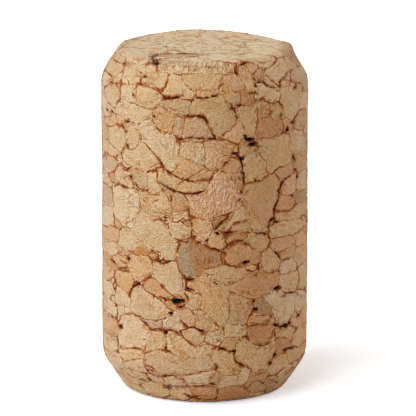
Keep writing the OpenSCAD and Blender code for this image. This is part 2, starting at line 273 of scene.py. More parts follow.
    (Tone.TAN, (22, 9, 25, 8.6, 28, 7.8, 33, 7.3, 38, 7.6, 41, 8.4, 44, 7.8, 43, 6.8, 40.5, 5.8, 37, 5.1,
        32, 4.7, 28, 4.8, 24, 5.5, 18.5, 6, 17.5, 7, 19.5, 8.2)),
    (Tone.EMBER, (42, 8, 50, 7.9, 53, 7.2, 56, 6.5, 51, 6.3, 46, 6.1, 43.5, 6.6)),
    (Tone.PALE, (19.5, 5.3, 25, 4.8, 24.5, 3.9, 24, 2.9, 20.5, 2.7)),
    (Tone.EMBER, (26, 4.2, 33, 4.1, 39, 3.8, 37, 2.9, 31, 2.8, 26.5, 3.2)),
    (Tone.TAN, (39, 5.3, 45, 5.6, 52, 5.6, 54, 4.3, 47, 3.6, 41, 3.8)),
    (Tone.BARK, (26, 2.6, 33, 2.6, 40, 2.3, 42, 3, 47, 3, 49, 2, 46, 1.2, 36, 1, 28, 1.8)),
    # Far right.
    (Tone.CREAM, (48.5, 39.7, 57, 39.9, 60, 39, 63, 38.6, 64, 37.4, 61, 36.1, 55, 36, 50.5, 36.4,
        48.3, 37.6)),
    (Tone.DUN, (60, 41.2, 63, 40.4, 68, 39.7, 76, 38.6, 84, 38.5, 84, 41, 70, 41.4)),
    (Tone.PALE, (66, 38.2, 76, 38.2, 84, 37.6, 84, 36.4, 72, 36.5, 65, 36.8)),
    (Tone.DUN, (60.5, 35.9, 66, 36.4, 76, 36, 80, 34.8, 72, 34.2, 64, 34.3, 60.5, 34.9)),
    (Tone.HONEY, (49, 35.8, 53, 35.7, 56, 35.2, 54, 34.4, 50.5, 34.9)),
    (Tone.CREAM, (56, 33.8, 60, 34.1, 66, 33.8, 74, 33, 80, 31.6, 76, 31, 66, 31.2, 61, 31.4, 58, 31.9,
        56.5, 32.8)),
    (Tone.BARK, (42.5, 29.4, 46, 30, 52, 30, 56, 29.8, 57, 29, 52, 28.6, 47, 28.4), Habit.STREAKED),
    (Tone.BARK, (62, 30.8, 68, 31, 78, 30.4, 80, 28.9, 65, 28.9, 61.5, 29.6)),
    (Tone.ROSE, (50, 28.3, 56, 28.7, 60.5, 28.6, 61, 27.4, 59.5, 26.4, 55, 26.3, 50.5, 26.8)),
    (Tone.RUST, (46.5, 26, 52, 26.1, 56.5, 25.6, 58, 25, 55.5, 24.3, 49, 24.3, 44.5, 24.9)),
    (Tone.CREAM, (62, 28, 70, 28.4, 80, 28, 82, 26.5, 72, 26, 65, 26.4, 61.5, 27)),
    (Tone.OLIVE, (58.5, 26.1, 66, 26, 76, 25.6, 80, 24.8, 62, 24.9)),
    (Tone.TAN, (43, 24.3, 55, 23.9, 64, 24.4, 74, 24.4, 82, 23.8, 80, 22.9, 60, 22.9, 50, 23.2, 44, 23.4)),
    (Tone.STRAW, (43, 23, 50, 22.9, 58, 22.6, 66, 22.2, 74, 21.7, 70, 21, 52, 21.3, 40, 21.4)),
    (Tone.CLAY, (40, 20.8, 50, 20.9, 58, 20.7, 62, 20.2, 56, 19.6, 48, 19.3, 43, 19.6, 39.5, 20.2),
        Habit.SPECKLED),
    (Tone.CLAY, (48, 19, 54, 19.4, 60, 19.5, 60.5, 18.7, 54.5, 18.3, 47.8, 18.3)),
    (Tone.ROSE, (61, 20.9, 70, 20.8, 80, 20.4, 82, 19.3, 72, 19.2, 63, 19.5)),
    (Tone.PALE, (47, 17.8, 52, 18, 58, 17.7, 62, 17, 61, 16.3, 49, 16.5, 46, 16.9)),
    (Tone.TAN, (62, 18.8, 72, 18.8, 82, 18.3, 82, 17, 64, 16.8, 60.5, 17.8)),
    (Tone.CREAM, (46.5, 16.1, 55, 16, 63, 15.9, 66, 15, 62, 14.1, 55, 13.8, 50, 14, 47.5, 14.9)),
    (Tone.CREAM, (66, 16.2, 76, 16.2, 83, 15.5, 82, 13.8, 74, 13.4, 66, 13.8, 67.5, 15)),
    (Tone.PALE, (62, 13.2, 68, 13, 76, 12.6, 83, 12, 82, 10.9, 72, 10.7, 64, 10.9, 61, 11.8)),
    (Tone.TAN, (58, 10.3, 64, 10.3, 74, 10.4, 83, 10.3, 82, 8.8, 72, 8.7, 56.5, 9.3)),
    (Tone.HONEY, (44, 9.2, 49, 9.1, 56, 9.1, 60, 8.5, 57, 7.6, 51, 8.1, 45, 8.3)),
    (Tone.TAN, (58, 7.8, 66, 8.3, 78, 8.3, 83, 7.4, 80, 6.3, 68, 6.1, 60, 6.6)),
    (Tone.CLAY, (53, 6, 60, 6, 70, 5.8, 80, 5.8, 78, 4.6, 66, 4.4, 56, 4.5)),
    # Left of the middle, from the top bevel down.
    (Tone.CREAM, (-56, 42.6, -40, 42.3, -33, 42.3, -34, 43, -40, 43.1, -56, 43)),
    (Tone.PALE, (-56, 42.2, -45, 41.8, -42, 41, -46, 40.7, -56, 40.8)),
    (Tone.CREAM, (-40, 42, -33, 42.1, -24, 42.3, -21, 41.5, -24, 40.5, -30, 40.9, -38, 41)),
    (Tone.PALE, (-54, 40.2, -45, 40.3, -41, 39.9, -40.5, 38.6, -45, 38.4, -53, 38.8)),
    (Tone.CREAM, (-39.5, 40.2, -27, 39.9, -24, 39.2, -29, 38.8, -31, 38, -39, 38.2)),
    (Tone.PALE, (-55, 38, -45, 38.2, -38, 38, -32, 37.8, -30, 37, -34, 36.7, -39, 35.8, -44, 36.1,
        -50, 36.4, -56, 36.8)),
    (Tone.CREAM, (-49, 35.5, -43, 35.6, -39.5, 35.2, -38, 34.2, -40, 33, -44, 32.5, -48, 32.6, -49, 34)),
    (Tone.CREAM, (-50, 32.2, -44, 32.2, -40, 32.8, -37, 33.5, -31, 32.8, -26, 31.5, -25, 31, -29, 30.3,
        -34, 30, -41, 30.2, -51, 30.6)),
    (Tone.STRAW, (-68, 34.2, -60, 34.6, -53, 34.9, -50.5, 34.4, -50, 32.6, -56, 32.1, -66, 32.4)),
    (Tone.DUN, (-45, 29.9, -36, 29.9, -33, 29.3, -33, 28, -37, 27.7, -41, 28, -43, 29)),
    (Tone.CREAM, (-32, 29.8, -26, 30.2, -27, 29.2, -26, 28.4, -29, 27.4, -32.5, 27.6)),
    (Tone.CREAM, (-57, 29.5, -52, 29.6, -46, 29.2, -43, 28, -46, 27.7, -55, 27.8, -60, 27.9)),
    (Tone.PALE, (-62, 27, -56, 27.2, -47, 27.2, -40, 27.1, -38, 26, -38.5, 25, -42, 24.2, -50, 23,
        -58, 23.1, -60, 24.5), Habit.STREAKED),
    (Tone.STRAW, (-38, 26.9, -32, 27.2, -21, 26.8, -19, 25.5, -24, 25, -37, 25), Habit.STREAKED),
    (Tone.CREAM, (-42, 22.2, -40, 24.2, -37, 24.6, -30, 23.9, -25, 23.7, -21, 23, -18, 21.8, -15.5, 21,
        -15.7, 19.6, -20, 19.2, -25, 19, -30, 19.7, -38, 20.6)),
    (Tone.CREAM, (-53, 21.6, -45, 22, -40, 20.9, -38, 20.4, -45, 19.4, -50, 19.4, -55, 20)),
    (Tone.AMBER, (-41, 20.2, -35, 20.1, -32, 19.7, -34, 19.3, -41, 19.2), Habit.STREAKED),
    (Tone.BARK, (-31, 20, -25, 19.9, -24.5, 19.1, -29, 19, -31, 19.2)),
    (Tone.TAN, (-46, 17.4, -44, 18.8, -38, 19.2, -32, 19.1, -30, 18.6, -30.3, 17.4, -33, 16.6, -38, 15.9,
        -43, 16.1), Habit.SPECKLED),
    (Tone.CLAY, (-37, 15.4, -34, 16, -30, 16.3, -25, 15.7, -20, 14.8, -19, 14.2, -29, 14.3, -33, 14.8)),
    (Tone.CREAM, (-45, 14, -42, 15, -38.5, 15.2, -34, 14.6, -29, 14, -24, 13.6, -21, 12.8, -20.5, 11.8,
        -26, 11.4, -33, 11.3, -42, 11.4, -45.5, 12.2)),
    (Tone.HONEY, (-57, 16.2, -48, 16.8, -45.5, 16.2, -44, 15.4, -46, 14.2, -52, 14.4, -60, 15.2)),
    (Tone.PALE, (-58, 14.3, -50, 14, -46, 13.2, -46, 12.2, -58, 12.2)),
    (Tone.PALE, (-56, 11.8, -47, 12, -45, 11.5, -50, 11.1, -56, 10.5)),
    (Tone.PALE, (-55, 9, -52, 10.6, -46, 11, -38, 10.9, -34, 10.4, -31, 9.8, -31.5, 8.8, -36, 7.2, -43, 7,
        -50, 6.8, -55.5, 6.9)),
    (Tone.DUN, (-37, 10.9, -31, 10.7, -25, 11, -24, 10.6, -25, 10, -33, 10.2)),
    (Tone.STRAW, (-31, 9.6, -24, 9.7, -21.5, 9.2, -21, 8.2, -23, 7.5, -29, 7.3, -35, 7.1, -34, 8),
        Habit.STREAKED),
    (Tone.STRAW, (-57, 6.4, -47, 6.6, -38, 6.8, -36.8, 6.1, -42, 5.7, -50, 5.3, -54, 5.1)),
    (Tone.CREAM, (-52, 4.8, -44, 5.3, -37, 5.8, -35, 5, -34, 4.2, -40, 4.1, -50, 4.2)),
    (Tone.STRAW, (-50, 3.9, -42, 3.8, -36, 3.6, -36, 3, -44, 2, -54, 1.8, -56, 3)),
    (Tone.MILK, (-33, 3.8, -29, 4.4, -25, 3.8, -25, 2.9, -31, 2.8), Habit.WRINKLED),
    (Tone.CREAM, (-43, 1.9, -36, 2.7, -27, 2.4, -25, 1.2, -30, 0.6, -44, 0.7)),
    # Far left.
    (Tone.CREAM, (-84, 43.3, -76, 42.5, -66, 42.5, -61, 42.8, -58, 43.4)),
    (Tone.CREAM, (-84, 41.9, -75, 42.1, -66, 42, -60, 41.8, -62, 41.1, -80, 41)),
    (Tone.PALE, (-84, 40.3, -78, 40.6, -70, 40.5, -67, 40.1, -72, 39.6, -80, 39.7)),
    (Tone.CREAM, (-68, 39.5, -60, 39.7, -55, 40.2, -53.5, 39, -56, 38.2, -60, 37.2, -68, 37.6, -74, 38.5)),
    (Tone.PALE, (-76, 37.9, -68, 37.3, -60.5, 36.9, -62, 36, -68, 35.7, -76, 35.4, -80, 36.6)),
    (Tone.HONEY, (-72, 35.2, -66, 35.6, -60, 35.8, -56, 35.3, -62, 34.7, -70, 34.6)),
    (Tone.BARK, (-80, 34.3, -74, 34.5, -69, 34.2, -68, 33, -74, 32.5, -80, 32.6)),
    (Tone.STRAW, (-78, 32.2, -70, 32.4, -60, 32, -57, 31.7, -58, 30.9, -68, 31.2, -76, 31.6)),
    (Tone.DUN, (-70, 30.3, -62, 30.5, -57, 30.3, -58, 29.8, -61, 29.4, -66, 28.6, -76, 28.8, -80, 29.6)),
    (Tone.STRAW, (-80, 28.3, -70, 28, -66, 27.7, -63, 27.2, -66, 26.8, -76, 26.7, -84, 26.9)),
    (Tone.DUN, (-80, 26.3, -72, 26.6, -66, 26.6, -63, 25.9, -62, 24.8, -70, 24.3, -78, 24.5)),
    (Tone.PALE, (-80, 23.4, -72, 23.8, -66, 23.9, -64, 23.2, -61, 22.7, -62, 21.9, -80, 21.2)),
    (Tone.HONEY, (-80, 20.7, -72, 21, -64, 21.7, -58, 21.8, -56, 21, -60, 20.2, -76, 19.6)),
    (Tone.CREAM, (-80, 19.3, -70, 19.3, -62, 19.6, -58, 19.2, -58, 18.4, -64, 18.1, -80, 18.2)),
    (Tone.TAN, (-62, 17.9, -57, 18.2, -50, 18.3, -47, 17.8, -50, 17.1, -56, 17.1, -61, 17.4)),
    (Tone.AMBER, (-76, 17.3, -68, 17.5, -60, 17.2, -57, 16.7, -62, 16.5, -74, 16.7)),
    (Tone.TAN, (-80, 16.2, -72, 16.2, -64, 16.2, -62, 15.4, -66, 14.8, -74, 14.6, -80, 14.8)),
    (Tone.PALE, (-80, 14.3, -70, 14.3, -62, 14.2, -60, 13.2, -66, 12.4, -76, 12.4)),
    (Tone.PALE, (-80, 11.9, -70, 11.9, -61, 11.8, -58, 11, -60, 10.4, -74, 10.6, -80, 10.7)),
    (Tone.HONEY, (-80, 9.3, -72, 9.6, -67, 9.8, -60, 9.6, -58, 8.6, -64, 7.8, -80, 8)),
    (Tone.PALE, (-80, 7.1, -70, 7.2, -62, 7.2, -57, 6.9, -58, 6.2, -66, 5.6, -80, 5.8)),
    (Tone.CREAM, (-75, 4.8, -66, 5.3, -57, 5.7, -53.5, 4.9, -53.5, 4.2, -57, 3.7, -64, 2.8, -74, 2.6)),
))

FRONT_CREVICES: tuple[Crevice, ...] = tuple(Crevice(*row) for row in (
    (0.2, 0.6, (-12, 37.3, -6, 37.4, -1, 37.4, 1, 36.9, 2.5, 36, 4, 35.3, 6, 34.6)),
    (0.26, 0.5, (-4, 37.2, -1, 37.2, 1, 37)),
    (0.16, 0.4, (-18, 35.2, -14, 34.4, -10, 34.6, -5, 34.7, 5, 34.5, 9, 34.4)),
    (0.24, 0.6, (-7, 39.5, 0, 39.7, 6, 39.9, 7, 40.3)),
    (0.21, 0.5, (-26, 40.3, -22, 39.4, -17, 39.6, -12, 39.9)),
    (0.19, 0.7, (-27, 28.9, -22, 28.3, -16, 27.8, -9, 27.6, -4, 27.7, 0, 28)),
    (0.14, 0.5, (-25, 30.8, -19, 30, -13, 29.4, -7, 29.2, 1, 29.5)),
    (0.33, 0.9, (5, 23, 8, 22.5, 11, 22.6, 16, 22.6)), (0.36, 0.6, (5, 23.1, 9, 23.9, 12, 24.4)),
    (0.3, 0.8, (-28.5, 18.7, -26, 18.6, -23, 18.5, -20.5, 18.8, -17, 19.1)),
    (0.22, 0.8, (-12, 15.5, -8, 15.5, -5, 15.1, -3, 14.9)),
    (0.21, 0.6, (-13, 16.9, -11, 16.8, -8, 16.6, -4, 17)),
    (0.21, 0.6, (-37, 10.8, -31, 9.9, -26, 10, -21, 10.1, -16, 9.9, -11, 8.9, -5, 8.2)),
    (0.33, 0.6, (-13, 11.3, -10, 10.6, -6, 10.6, -3, 10.2, 0, 9.9)),
    (0.24, 0.8, (5, 8, 12, 7.5, 17, 7.3, 16.5, 6.4, 18, 5.8, 22, 5.4, 27, 4.6)),
    (0.3, 0.9, (23, 9.2, 27, 8.2, 31, 7.7, 35, 7.6, 39, 7.9)),
    (0.39, 1, (21, 34.9, 24, 34.2, 28, 34, 28.5, 33.6, 31, 33)),
    (0.39, 1, (42, 10, 46, 9.6, 51, 9.5, 57, 9.7)), (0.27, 0.7, (49, 6.4, 55, 6.4, 60, 6.2)),
    (0.27, 0.6, (28, 29, 32, 28.8, 36, 29.4)),
    (0.33, 0.9, (48, 28.2, 45, 27.1, 45, 26.3, 41.5, 25, 41.5, 24, 39, 23.4, 37, 22.6)),
    (0.21, 0.6, (29, 22.2, 33, 22.1, 37, 21.8, 39, 21, 37, 20.1, 34, 19.9)),
    (0.26, 0.6, (42, 19.6, 44.5, 19, 47, 18.2)), (0.16, 0.4, (47, 18, 54, 18.1)),
    (0.28, 0.8, (15, 32.9, 17.5, 32.5, 20, 31.9, 21, 31, 22, 29.8, 22, 28.6)),
    (0.27, 0.7, (-50, 35.8, -47, 35.9, -44, 35.7)),
    (0.2, 0.7, (-46, 13.7, -45, 14.5, -42.5, 15, -40, 15.3, -37, 15.2)),
    (0.14, 0.4, (-37, 15.2, -34.5, 16.2, -31.5, 16.7, -29.5, 17.1)),
    (0.28, 0.7, (14, 38.8, 15.5, 38.3, 17, 37.7)), (0.24, 0.6, (16.5, 38.6, 19.5, 38.6, 23, 38.5)),
    (0.2, 0.4, (37.5, 37.9, 38.5, 37.3, 37.5, 36.9)),
    (0.2, 0.5, (-27, 32.1, -24.5, 31.3, -22, 30.5, -19, 30)), (0.22, 0.5, (28, 13.7, 26.5, 13.2)),
    (0.27, 0.6, (-70, 9.8, -64, 10, -60, 10)), (0.23, 0.6, (-30, 24.1, -25, 24, -21, 24)),
    (0.23, 0.5, (33, 3, 36, 2.6, 41, 2)), (0.26, 0.5, (42, 2.7, 47, 2.3, 54, 1.7)),
    (0.16, 0.4, (-36, 5.3, -35, 4.6, -30.5, 3.9, -24, 3.9, -18, 4.1, -12.5, 3.6, -10.5, 2.8)),
    (0.16, 0.4, (-25.5, 2.4, -19.5, 2.5, -10.5, 2.6, -4, 2.6, 2, 2.9, 7.5, 2.9)),
    (0.26, 0.5, (-26, 2.2, -22, 2.1, -20, 2.2)), (0.2, 0.4, (-23.5, 2, -22.5, 1.3)),
    (0.22, 0.4, (-13, 1.4, -10, 0.9, -5, 0.7, 0, 0.6)),
    (0.16, 0.4, (-58, 3.7, -54, 3.1, -48, 2.7, -40.5, 2.7, -35, 3)),
    (0.2, 0.4, (58, 2.6, 60, 2.9, 62.5, 3.4)), (0.2, 0.4, (26, 1.9, 28.5, 2.3, 30, 2.7)),
    (0.23, 0.5, (9.5, 31, 12, 31.5, 15, 32.4)), (0.21, 0.4, (14, 39, 14.5, 38.3, 17, 38, 18.5, 36.9)),
    (0.21, 0.4, (28.5, 39, 32, 39, 34.5, 39.2)),
    (0.17, 0.4, (35, 38.8, 40, 38.4, 45, 38.5, 48, 37.7, 46, 36.5)),
    (0.21, 0.5, (19, 42.4, 21, 42.9, 25, 43.3, 32, 43.4, 36, 43)),
    (0.21, 0.5, (31, 42, 31, 41, 34, 41.2, 37, 40.8, 41, 40.3)), (0.18, 0.4, (26, 40, 29, 39.9, 31, 40.7)),
    (0.19, 0.5, (24, 10.5, 29, 10.5, 33, 10.4, 36, 10.3, 38, 10.8)),
    (0.17, 0.4, (-50, 28.5, -46, 29, -42, 28.4, -39, 27.6, -36, 27.5)),
    (0.19, 0.5, (-60, 27, -56, 27.6, -47, 27.4)), (0.18, 0.5, (-66, 17.4, -60, 17.2, -55, 16.6, -48, 16.7)),
    (0.17, 0.4, (13, 18.5, 17, 18.2, 22, 18.1)), (0.17, 0.4, (26.5, 16.9, 29, 16.8, 31, 17.4)),
    (0.17, 0.4, (48, 13.5, 53, 13.6, 60, 13.4, 64, 12.8, 70, 12.2)),
    (0.16, 0.4, (15, 23.6, 18, 23.9, 23, 23.9)), (0.18, 0.4, (-1, 21.3, 3, 20.7, 7, 20.5, 12, 19.9)),
    (0.21, 0.4, (-42, 40.8, -36, 40.7, -31, 40.7)), (0.16, 0.4, (-66, 40, -61, 40.2, -57, 40)),
    (0.36, 0.6, (57.2, 31.4, 58.6, 30.8, 58.2, 30.1)), (0.2, 0.4, (56, 30.9, 58.6, 30.8, 61, 30.4)),
    (0.2, 0.4, (51, 35.2, 52.5, 34.5, 53.5, 33.9)), (0.17, 0.4, (12, 21.2, 16, 21.5, 20, 21.5, 25, 20.9)),
    (0.16, 0.4, (9, 20.3, 14, 21, 18, 21.4)), (0.16, 0.4, (-10, 1.1, -6, 1, -1, 1.1)),
    (0.16, 0.4, (40, 41.6, 46, 40.2, 50, 41, 58, 41.3, 68, 41.5)),
))

FRONT_SEAMS: tuple[Seam, ...] = tuple(Seam(*row) for row in (
    (0, (-8.1, 21.2, -8, 19.9, -6.8, 18.2, -5.5, 17.1)), (0.7, (-15.3, 19.9, -14.8, 20.6, -13, 21.4)),
    (0.35, (0.5, 19.8, 0.2, 19.2, -0.6, 18.6)), (0.3, (2.5, 19.9, 2.4, 19.2, 1.8, 18.6)),
    # Middle of the front, from the top bevel down.
    (0.45, (-4.8, 40.7, -5, 40, -4.6, 39.6)), (0.25, (-4.8, 40.7, 0, 40.6, 3, 40.6, 6, 40.1)),
    (0.5, (-24, 39.8, -16, 39.5)), (0.35, (-24, 39.4, -18, 39.4)), (0.2, (-14, 41.8, -12, 41.3, -9, 40.9)),
    (0.5, (7.5, 40.5, 8.5, 41, 12, 41.3)), (0.6, (6, 40.3, 8, 40.1, 10, 40.1, 12, 39)),
    (0.12, (-24, 38.8, -20, 38.3, -15, 38, -10, 37.8)), (0.25, (-8, 38.8, -8.6, 38.2, -8, 37.6)),
    (0.35, (-17.8, 37.4, -17, 37.1, -12.5, 37.4)), (0.3, (-17.2, 37, -17, 36.3, -17.8, 35.3)),
    (0.4, (-13.5, 34.2, -14.5, 31.8)), (0.45, (6, 34.5, 12, 34.4)), (0.3, (6, 34.4, 7.5, 34, 11.5, 33.2)),
    (0.4, (8, 32, 11, 32.4)), (0.25, (-2, 33.1, -1.3, 32.3)), (0.25, (-1.5, 32, 2, 31.2)),
    (0.3, (-24, 35.3, -21, 35.1, -19.5, 35.4)), (0.4, (-15.5, 28, -13.5, 29, -11.5, 29.2)),
    (0.35, (-10, 29.4, -5, 30.1, -1, 30.7, 4, 30.5)), (0.5, (3.5, 30.5, 8.5, 30.6, 12, 31.5)),
    (0.5, (-19.5, 28, -18.5, 26.8, -19, 26, -17, 25.3)), (0.3, (-17.5, 27.5, -16, 26.8, -16.5, 26.2)),
    (0.4, (-20, 24, -15, 23.9, -11.5, 24.5, -9.5, 23.8)), (0.45, (-7.5, 23.3, -5, 22.6, -3, 22.5)),
    (0.6, (-18, 21.9, -13.5, 21.6, -10, 21.4, -8, 21.7)), (0.3, (-13, 22.2, -8.5, 22.4)),
    (0.35, (-12.8, 21.4, -15, 20.2)), (0.45, (1.5, 24.1, 7, 24.4)),
    (0.5, (9, 20.2, 9, 19.3, 10, 18.7, 6, 18.3, 0, 18)), (0.25, (-5, 18.3, -3.5, 18.8, -2, 18.5)),
    (0.35, (-2, 17.9, 0, 17.5, 3, 17.3, 6, 17.5)), (0.45, (5, 16.8, 8, 16.4, 12, 16)),
    (0.25, (-4, 16.7, 0, 16.3, 4, 15.8, 8, 15.8)), (0.2, (3, 17, 3.3, 16, 1, 15.3, -3, 14.9)),
    (0.35, (-12.5, 16.7, -12, 15.8, -12.2, 14.8)),
    (0.4, (-24, 15.6, -21, 14.9, -18.5, 14.5, -15, 14.7, -13, 14.4)),
    (0.3, (-24, 13.6, -22, 13.3, -20, 13.4)),
    (0.4, (-10, 13.8, -9, 13, -7, 12.7, -3, 13, -1, 12.7, 2, 12.1, 5, 11.3)),
    (0.7, (5, 11.3, 7, 10.8, 8.5, 10.5)), (0.5, (-24, 11.2, -22, 11.5, -21, 11.7)),
    (0.4, (-17, 11.8, -14.5, 11.4, -13, 11)), (0.25, (-5, 12, -4.8, 11.3, -6.5, 11)),
    (0.5, (-16, 10, -14.5, 9.6, -13.8, 9.3)), (0.25, (0, 9.9, 0, 9.3, -0.5, 8.8)),
    (0.35, (-5, 8.1, -2, 8.6, 0, 8.8, 3, 8.4, 5, 8.1)), (0.45, (5, 8.6, 7, 8.7, 9, 9)),
    (0.35, (4.5, 7.1, 3.5, 6.6, 4, 6.2, 4.8, 5.8)), (0.45, (-6, 4.6, -2, 4.9, 2.5, 4.9, 5.8, 5.4)),
    (0.35, (-24, 3.9, -21, 4.1, -13, 4.1, -9, 4.4, -5, 4.6)),
    (0.4, (1, 3.2, 3, 3.9, 5, 4.5, 6, 4.7, 8, 4.5, 12, 4.3)),
    (0.3, (-12.5, 3.9, -11, 3.2, -9.5, 3.1, -3, 3.1, 2, 3)), (0.8, (2, 3, 4, 3.1, 6, 3)),
    (0.35, (8, 3, 8, 4.3)), (0.3, (-16, 2.4, -12, 2.2, -10, 2.6)),
    (0.6, (-11, 1.1, -8, 0.9, -3, 1.1, 2, 1.2)), (0.5, (6.5, 2.2, 8, 1.9, 8, 1.2)),
    # Right of the middle, from the top bevel down.
    (0.3, (10, 42.2, 15, 42.2, 19.5, 42.4)), (0.45, (27, 43.1, 29, 43.2, 33, 43.3, 35, 43)),
    (0.5, (28, 42.8, 29.5, 42.1, 30.5, 41.2)), (0.5, (31.5, 41.1, 33.5, 41, 35, 41.4, 37, 42, 39.5, 42.6)),
    (0.5, (35, 41, 37, 40.7, 40, 40.3, 44, 40.1)), (0.5, (15, 40.4, 18, 40.3, 22, 40.5, 24, 40.3)),
    (0.6, (24, 39.9, 26, 39.8, 28, 39.9, 29.5, 40.3)), (0.45, (15.5, 38.6, 20.5, 38.7, 22.5, 38.4)),
    (0.5, (16.5, 37.6, 18.3, 36.6)), (0.3, (26.5, 38.3, 28.5, 38.8, 30, 38.9)),
    (0.5, (29.5, 38.3, 30, 37.7, 30, 37, 30.2, 36.2, 29.3, 35.5, 28.8, 34.8)),
    (0.35, (32, 38.7, 32.8, 38, 32.5, 37.3, 33.5, 36.9)), (0.35, (33.5, 38.3, 33.8, 37.5)),
    (0.35, (31, 36.8, 36.5, 37)), (0.7, (37.8, 37, 38, 37.6, 39.5, 38)),
    (0.3, (38, 36.8, 40, 36.3, 44, 36.1)), (0.3, (20.5, 36.5, 21.5, 36, 22.5, 35.2)),
    (0.5, (8, 34.8, 12, 34.4, 17, 33.8, 19, 33.7, 20.5, 34.2, 22.5, 34.3)),
    (0.4, (8, 34.2, 9, 33.6, 10.5, 33.3)), (0.35, (19, 33.7, 18.7, 32.2)),
    (0.35, (28, 34, 33, 34.2, 38, 34, 44, 34.2)), (0.4, (24, 32.4, 26.5, 32.5, 29, 32.8, 30.5, 33)),
    (0.35, (29, 32.8, 29.8, 31.8)), (0.2, (33, 32.7, 35, 32.2, 36.5, 31.5)),
    (0.4, (9, 32.4, 14, 32.4, 15.5, 32.8)), (0.4, (20, 31, 19, 30.6, 17.5, 30.2, 13.5, 30.1)),
    (0.3, (16, 29.9, 17, 29.2, 18.5, 29.7, 19.5, 29.2, 20.5, 29.8)),
    (0.35, (20, 26.9, 22, 26.8, 24, 26.2, 22.5, 25.2, 23, 24.6, 24.5, 24.4)),
    (0.4, (25, 25.4, 25.3, 24.6, 25, 24.2)),
    (0.35, (12, 23.5, 14, 24.4, 15.5, 25, 17.5, 25.5, 19.5, 25.5, 21, 24.9)),
    (0.6, (16, 23.5, 17.5, 23.8, 20.5, 23.9)), (0.4, (15.5, 22.6, 18, 22.7, 21, 22.5, 23.5, 22.3)),
    (0.5, (25.5, 23, 26.5, 22.9, 27.5, 22.4)), (0.35, (27, 24, 28.8, 24.6, 31.5, 24.1)),
    (0.3, (32.5, 23, 33.5, 22.5, 33, 22.2)), (0.4, (36, 31, 36.2, 30.3, 35.8, 29.6)),
    (0.25, (33, 30.8, 35.5, 30.5)), (0.5, (35, 22.8, 38, 23, 39.5, 23.2)),
    (0.35, (12, 20.4, 15, 20.8, 17, 21.2)), (0.5, (20.5, 21, 25, 20.9, 26.5, 20.4, 28.5, 20.1)),
    (0.7, (8.5, 20.2, 10.5, 20, 13, 19.9)), (0.35, (28, 18.7, 32.5, 18.7, 33, 18, 33.2, 17.4)),
    (0.45, (33.2, 17.4, 36, 17, 38, 16.8, 40.5, 16.9, 43, 17.3)),
    (0.35, (14, 16, 18, 16.4, 22, 16.7, 25.5, 17.2)), (0.5, (8, 16.4, 11, 16, 13, 15.8)),
    (0.4, (20, 14.6, 22, 14.2, 24.5, 14, 29, 13.7)), (0.4, (29, 13.9, 32, 13.8, 35, 14.2, 40, 14.3)),
    (0.3, (35, 13.5, 37.5, 13, 40.5, 11.8, 42, 11, 43.5, 10.4)), (0.35, (29, 11.7, 35, 11.5, 39, 11.6)),
    (0.4, (20, 13.6, 20.5, 13.2, 21.5, 13.3)), (0.3, (10, 10.9, 16, 10.8, 20, 10.8, 23, 10.4)),
    (0.6, (33, 10.2, 36, 10.3, 37.5, 10.9)), (0.35, (10, 9.2, 20, 9.2)),
    (0.35, (16.7, 6.8, 17.5, 7.2, 17, 8.2, 18.5, 8.5, 20, 9)), (0.35, (25.5, 4.9, 26.5, 4.6, 35.5, 4.5)),
    (0.5, (27, 3.9, 30, 3.9, 33, 4, 37, 4.1)), (0.35, (12, 4.3, 19, 4.2, 19.5, 3, 20, 2.6)),
    (0.5, (10, 2.3, 14, 2.5, 18, 2.6, 21.5, 2.4, 25, 2.2, 28, 1.7, 29.5, 1.2)),
    (0.4, (39.5, 5.3, 41.5, 5.9, 43.5, 5.7)), (0.5, (37, 8.4, 40, 8.5, 41, 9.3, 43, 9.5)),
    # Left of the middle, from the top bevel down.
    (0.3, (-42, 43.2, -40.5, 42.8, -40.5, 42.4)), (0.5, (-55, 42.4, -52, 42.4)),
    (0.5, (-45, 41.4, -43, 41.6, -39, 41.5, -35, 41.5)), (0.2, (-35, 41.5, -31, 41.4)),
    (0.5, (-50.5, 41, -48.5, 40.6, -46.5, 40.4)), (0.35, (-45, 40.3, -41, 40, -41, 39, -40, 38.4)),
    (0.6, (-43.2, 39.6, -43.1, 39)), (0.5, (-32, 38.5, -29, 38.8)),
    (0.8, (-29, 40.6, -27, 40.4, -24.5, 39.9)), (0.7, (-29.5, 37.9, -27.5, 38.2, -25.5, 38.4)),
    (0.35, (-25.5, 38.4, -23, 38.2, -20, 37.7)), (0.4, (-36.5, 36.2, -34.5, 36.5, -30, 36.8)),
    (0.35, (-27.5, 36.6, -25.5, 36)), (0.5, (-28, 35.9, -25, 35.4, -22, 35.2)),
    (0.5, (-53, 35.7, -51, 35.6)), (0.35, (-45, 35.6, -42, 35.5, -40, 35.6)),
    (0.5, (-40.5, 35, -39.5, 35.1)),
    (0.45, (-38.5, 34.8, -38.5, 34, -39.3, 33.2, -41, 32.8, -44, 32.4, -48.5, 32.4)),
    (0.45, (-37, 33.6, -35, 33.5, -32, 33, -29.5, 32.5, -25.5, 31.5)), (0.5, (-56, 31.5, -51, 31.4)),
    (0.45, (-56, 30.2, -54, 30.1, -50.5, 30.7, -48, 30.4, -42, 30.2)),
    (0.4, (-54, 29.9, -50, 29.6, -45, 29.5)), (0.5, (-38, 29.9, -35, 29.8, -34, 29.6)),
    (0.45, (-33.2, 28.4, -32.8, 28)), (0.5, (-53, 28.4, -51.8, 28.5)),
    (0.25, (-46, 27.4, -42, 27.1, -39, 27.1)), (0.15, (-56, 25.6, -50, 25.8, -43, 26.1)),
    (0.3, (-46, 25, -41, 25.2, -38.5, 25, -38.4, 26.5)), (0.45, (-36, 26.4, -34.5, 26.1, -33.5, 25.8)),
    (0.25, (-33.5, 25.8, -32, 25.8, -26, 26.6)), (0.25, (-35, 27, -31, 27.1, -25.5, 27.2, -24.3, 28.8)),
    (0.2, (-36.5, 24.8, -31, 24.9, -24, 25)), (0.6, (-38.3, 24.8, -37.5, 24.7)),
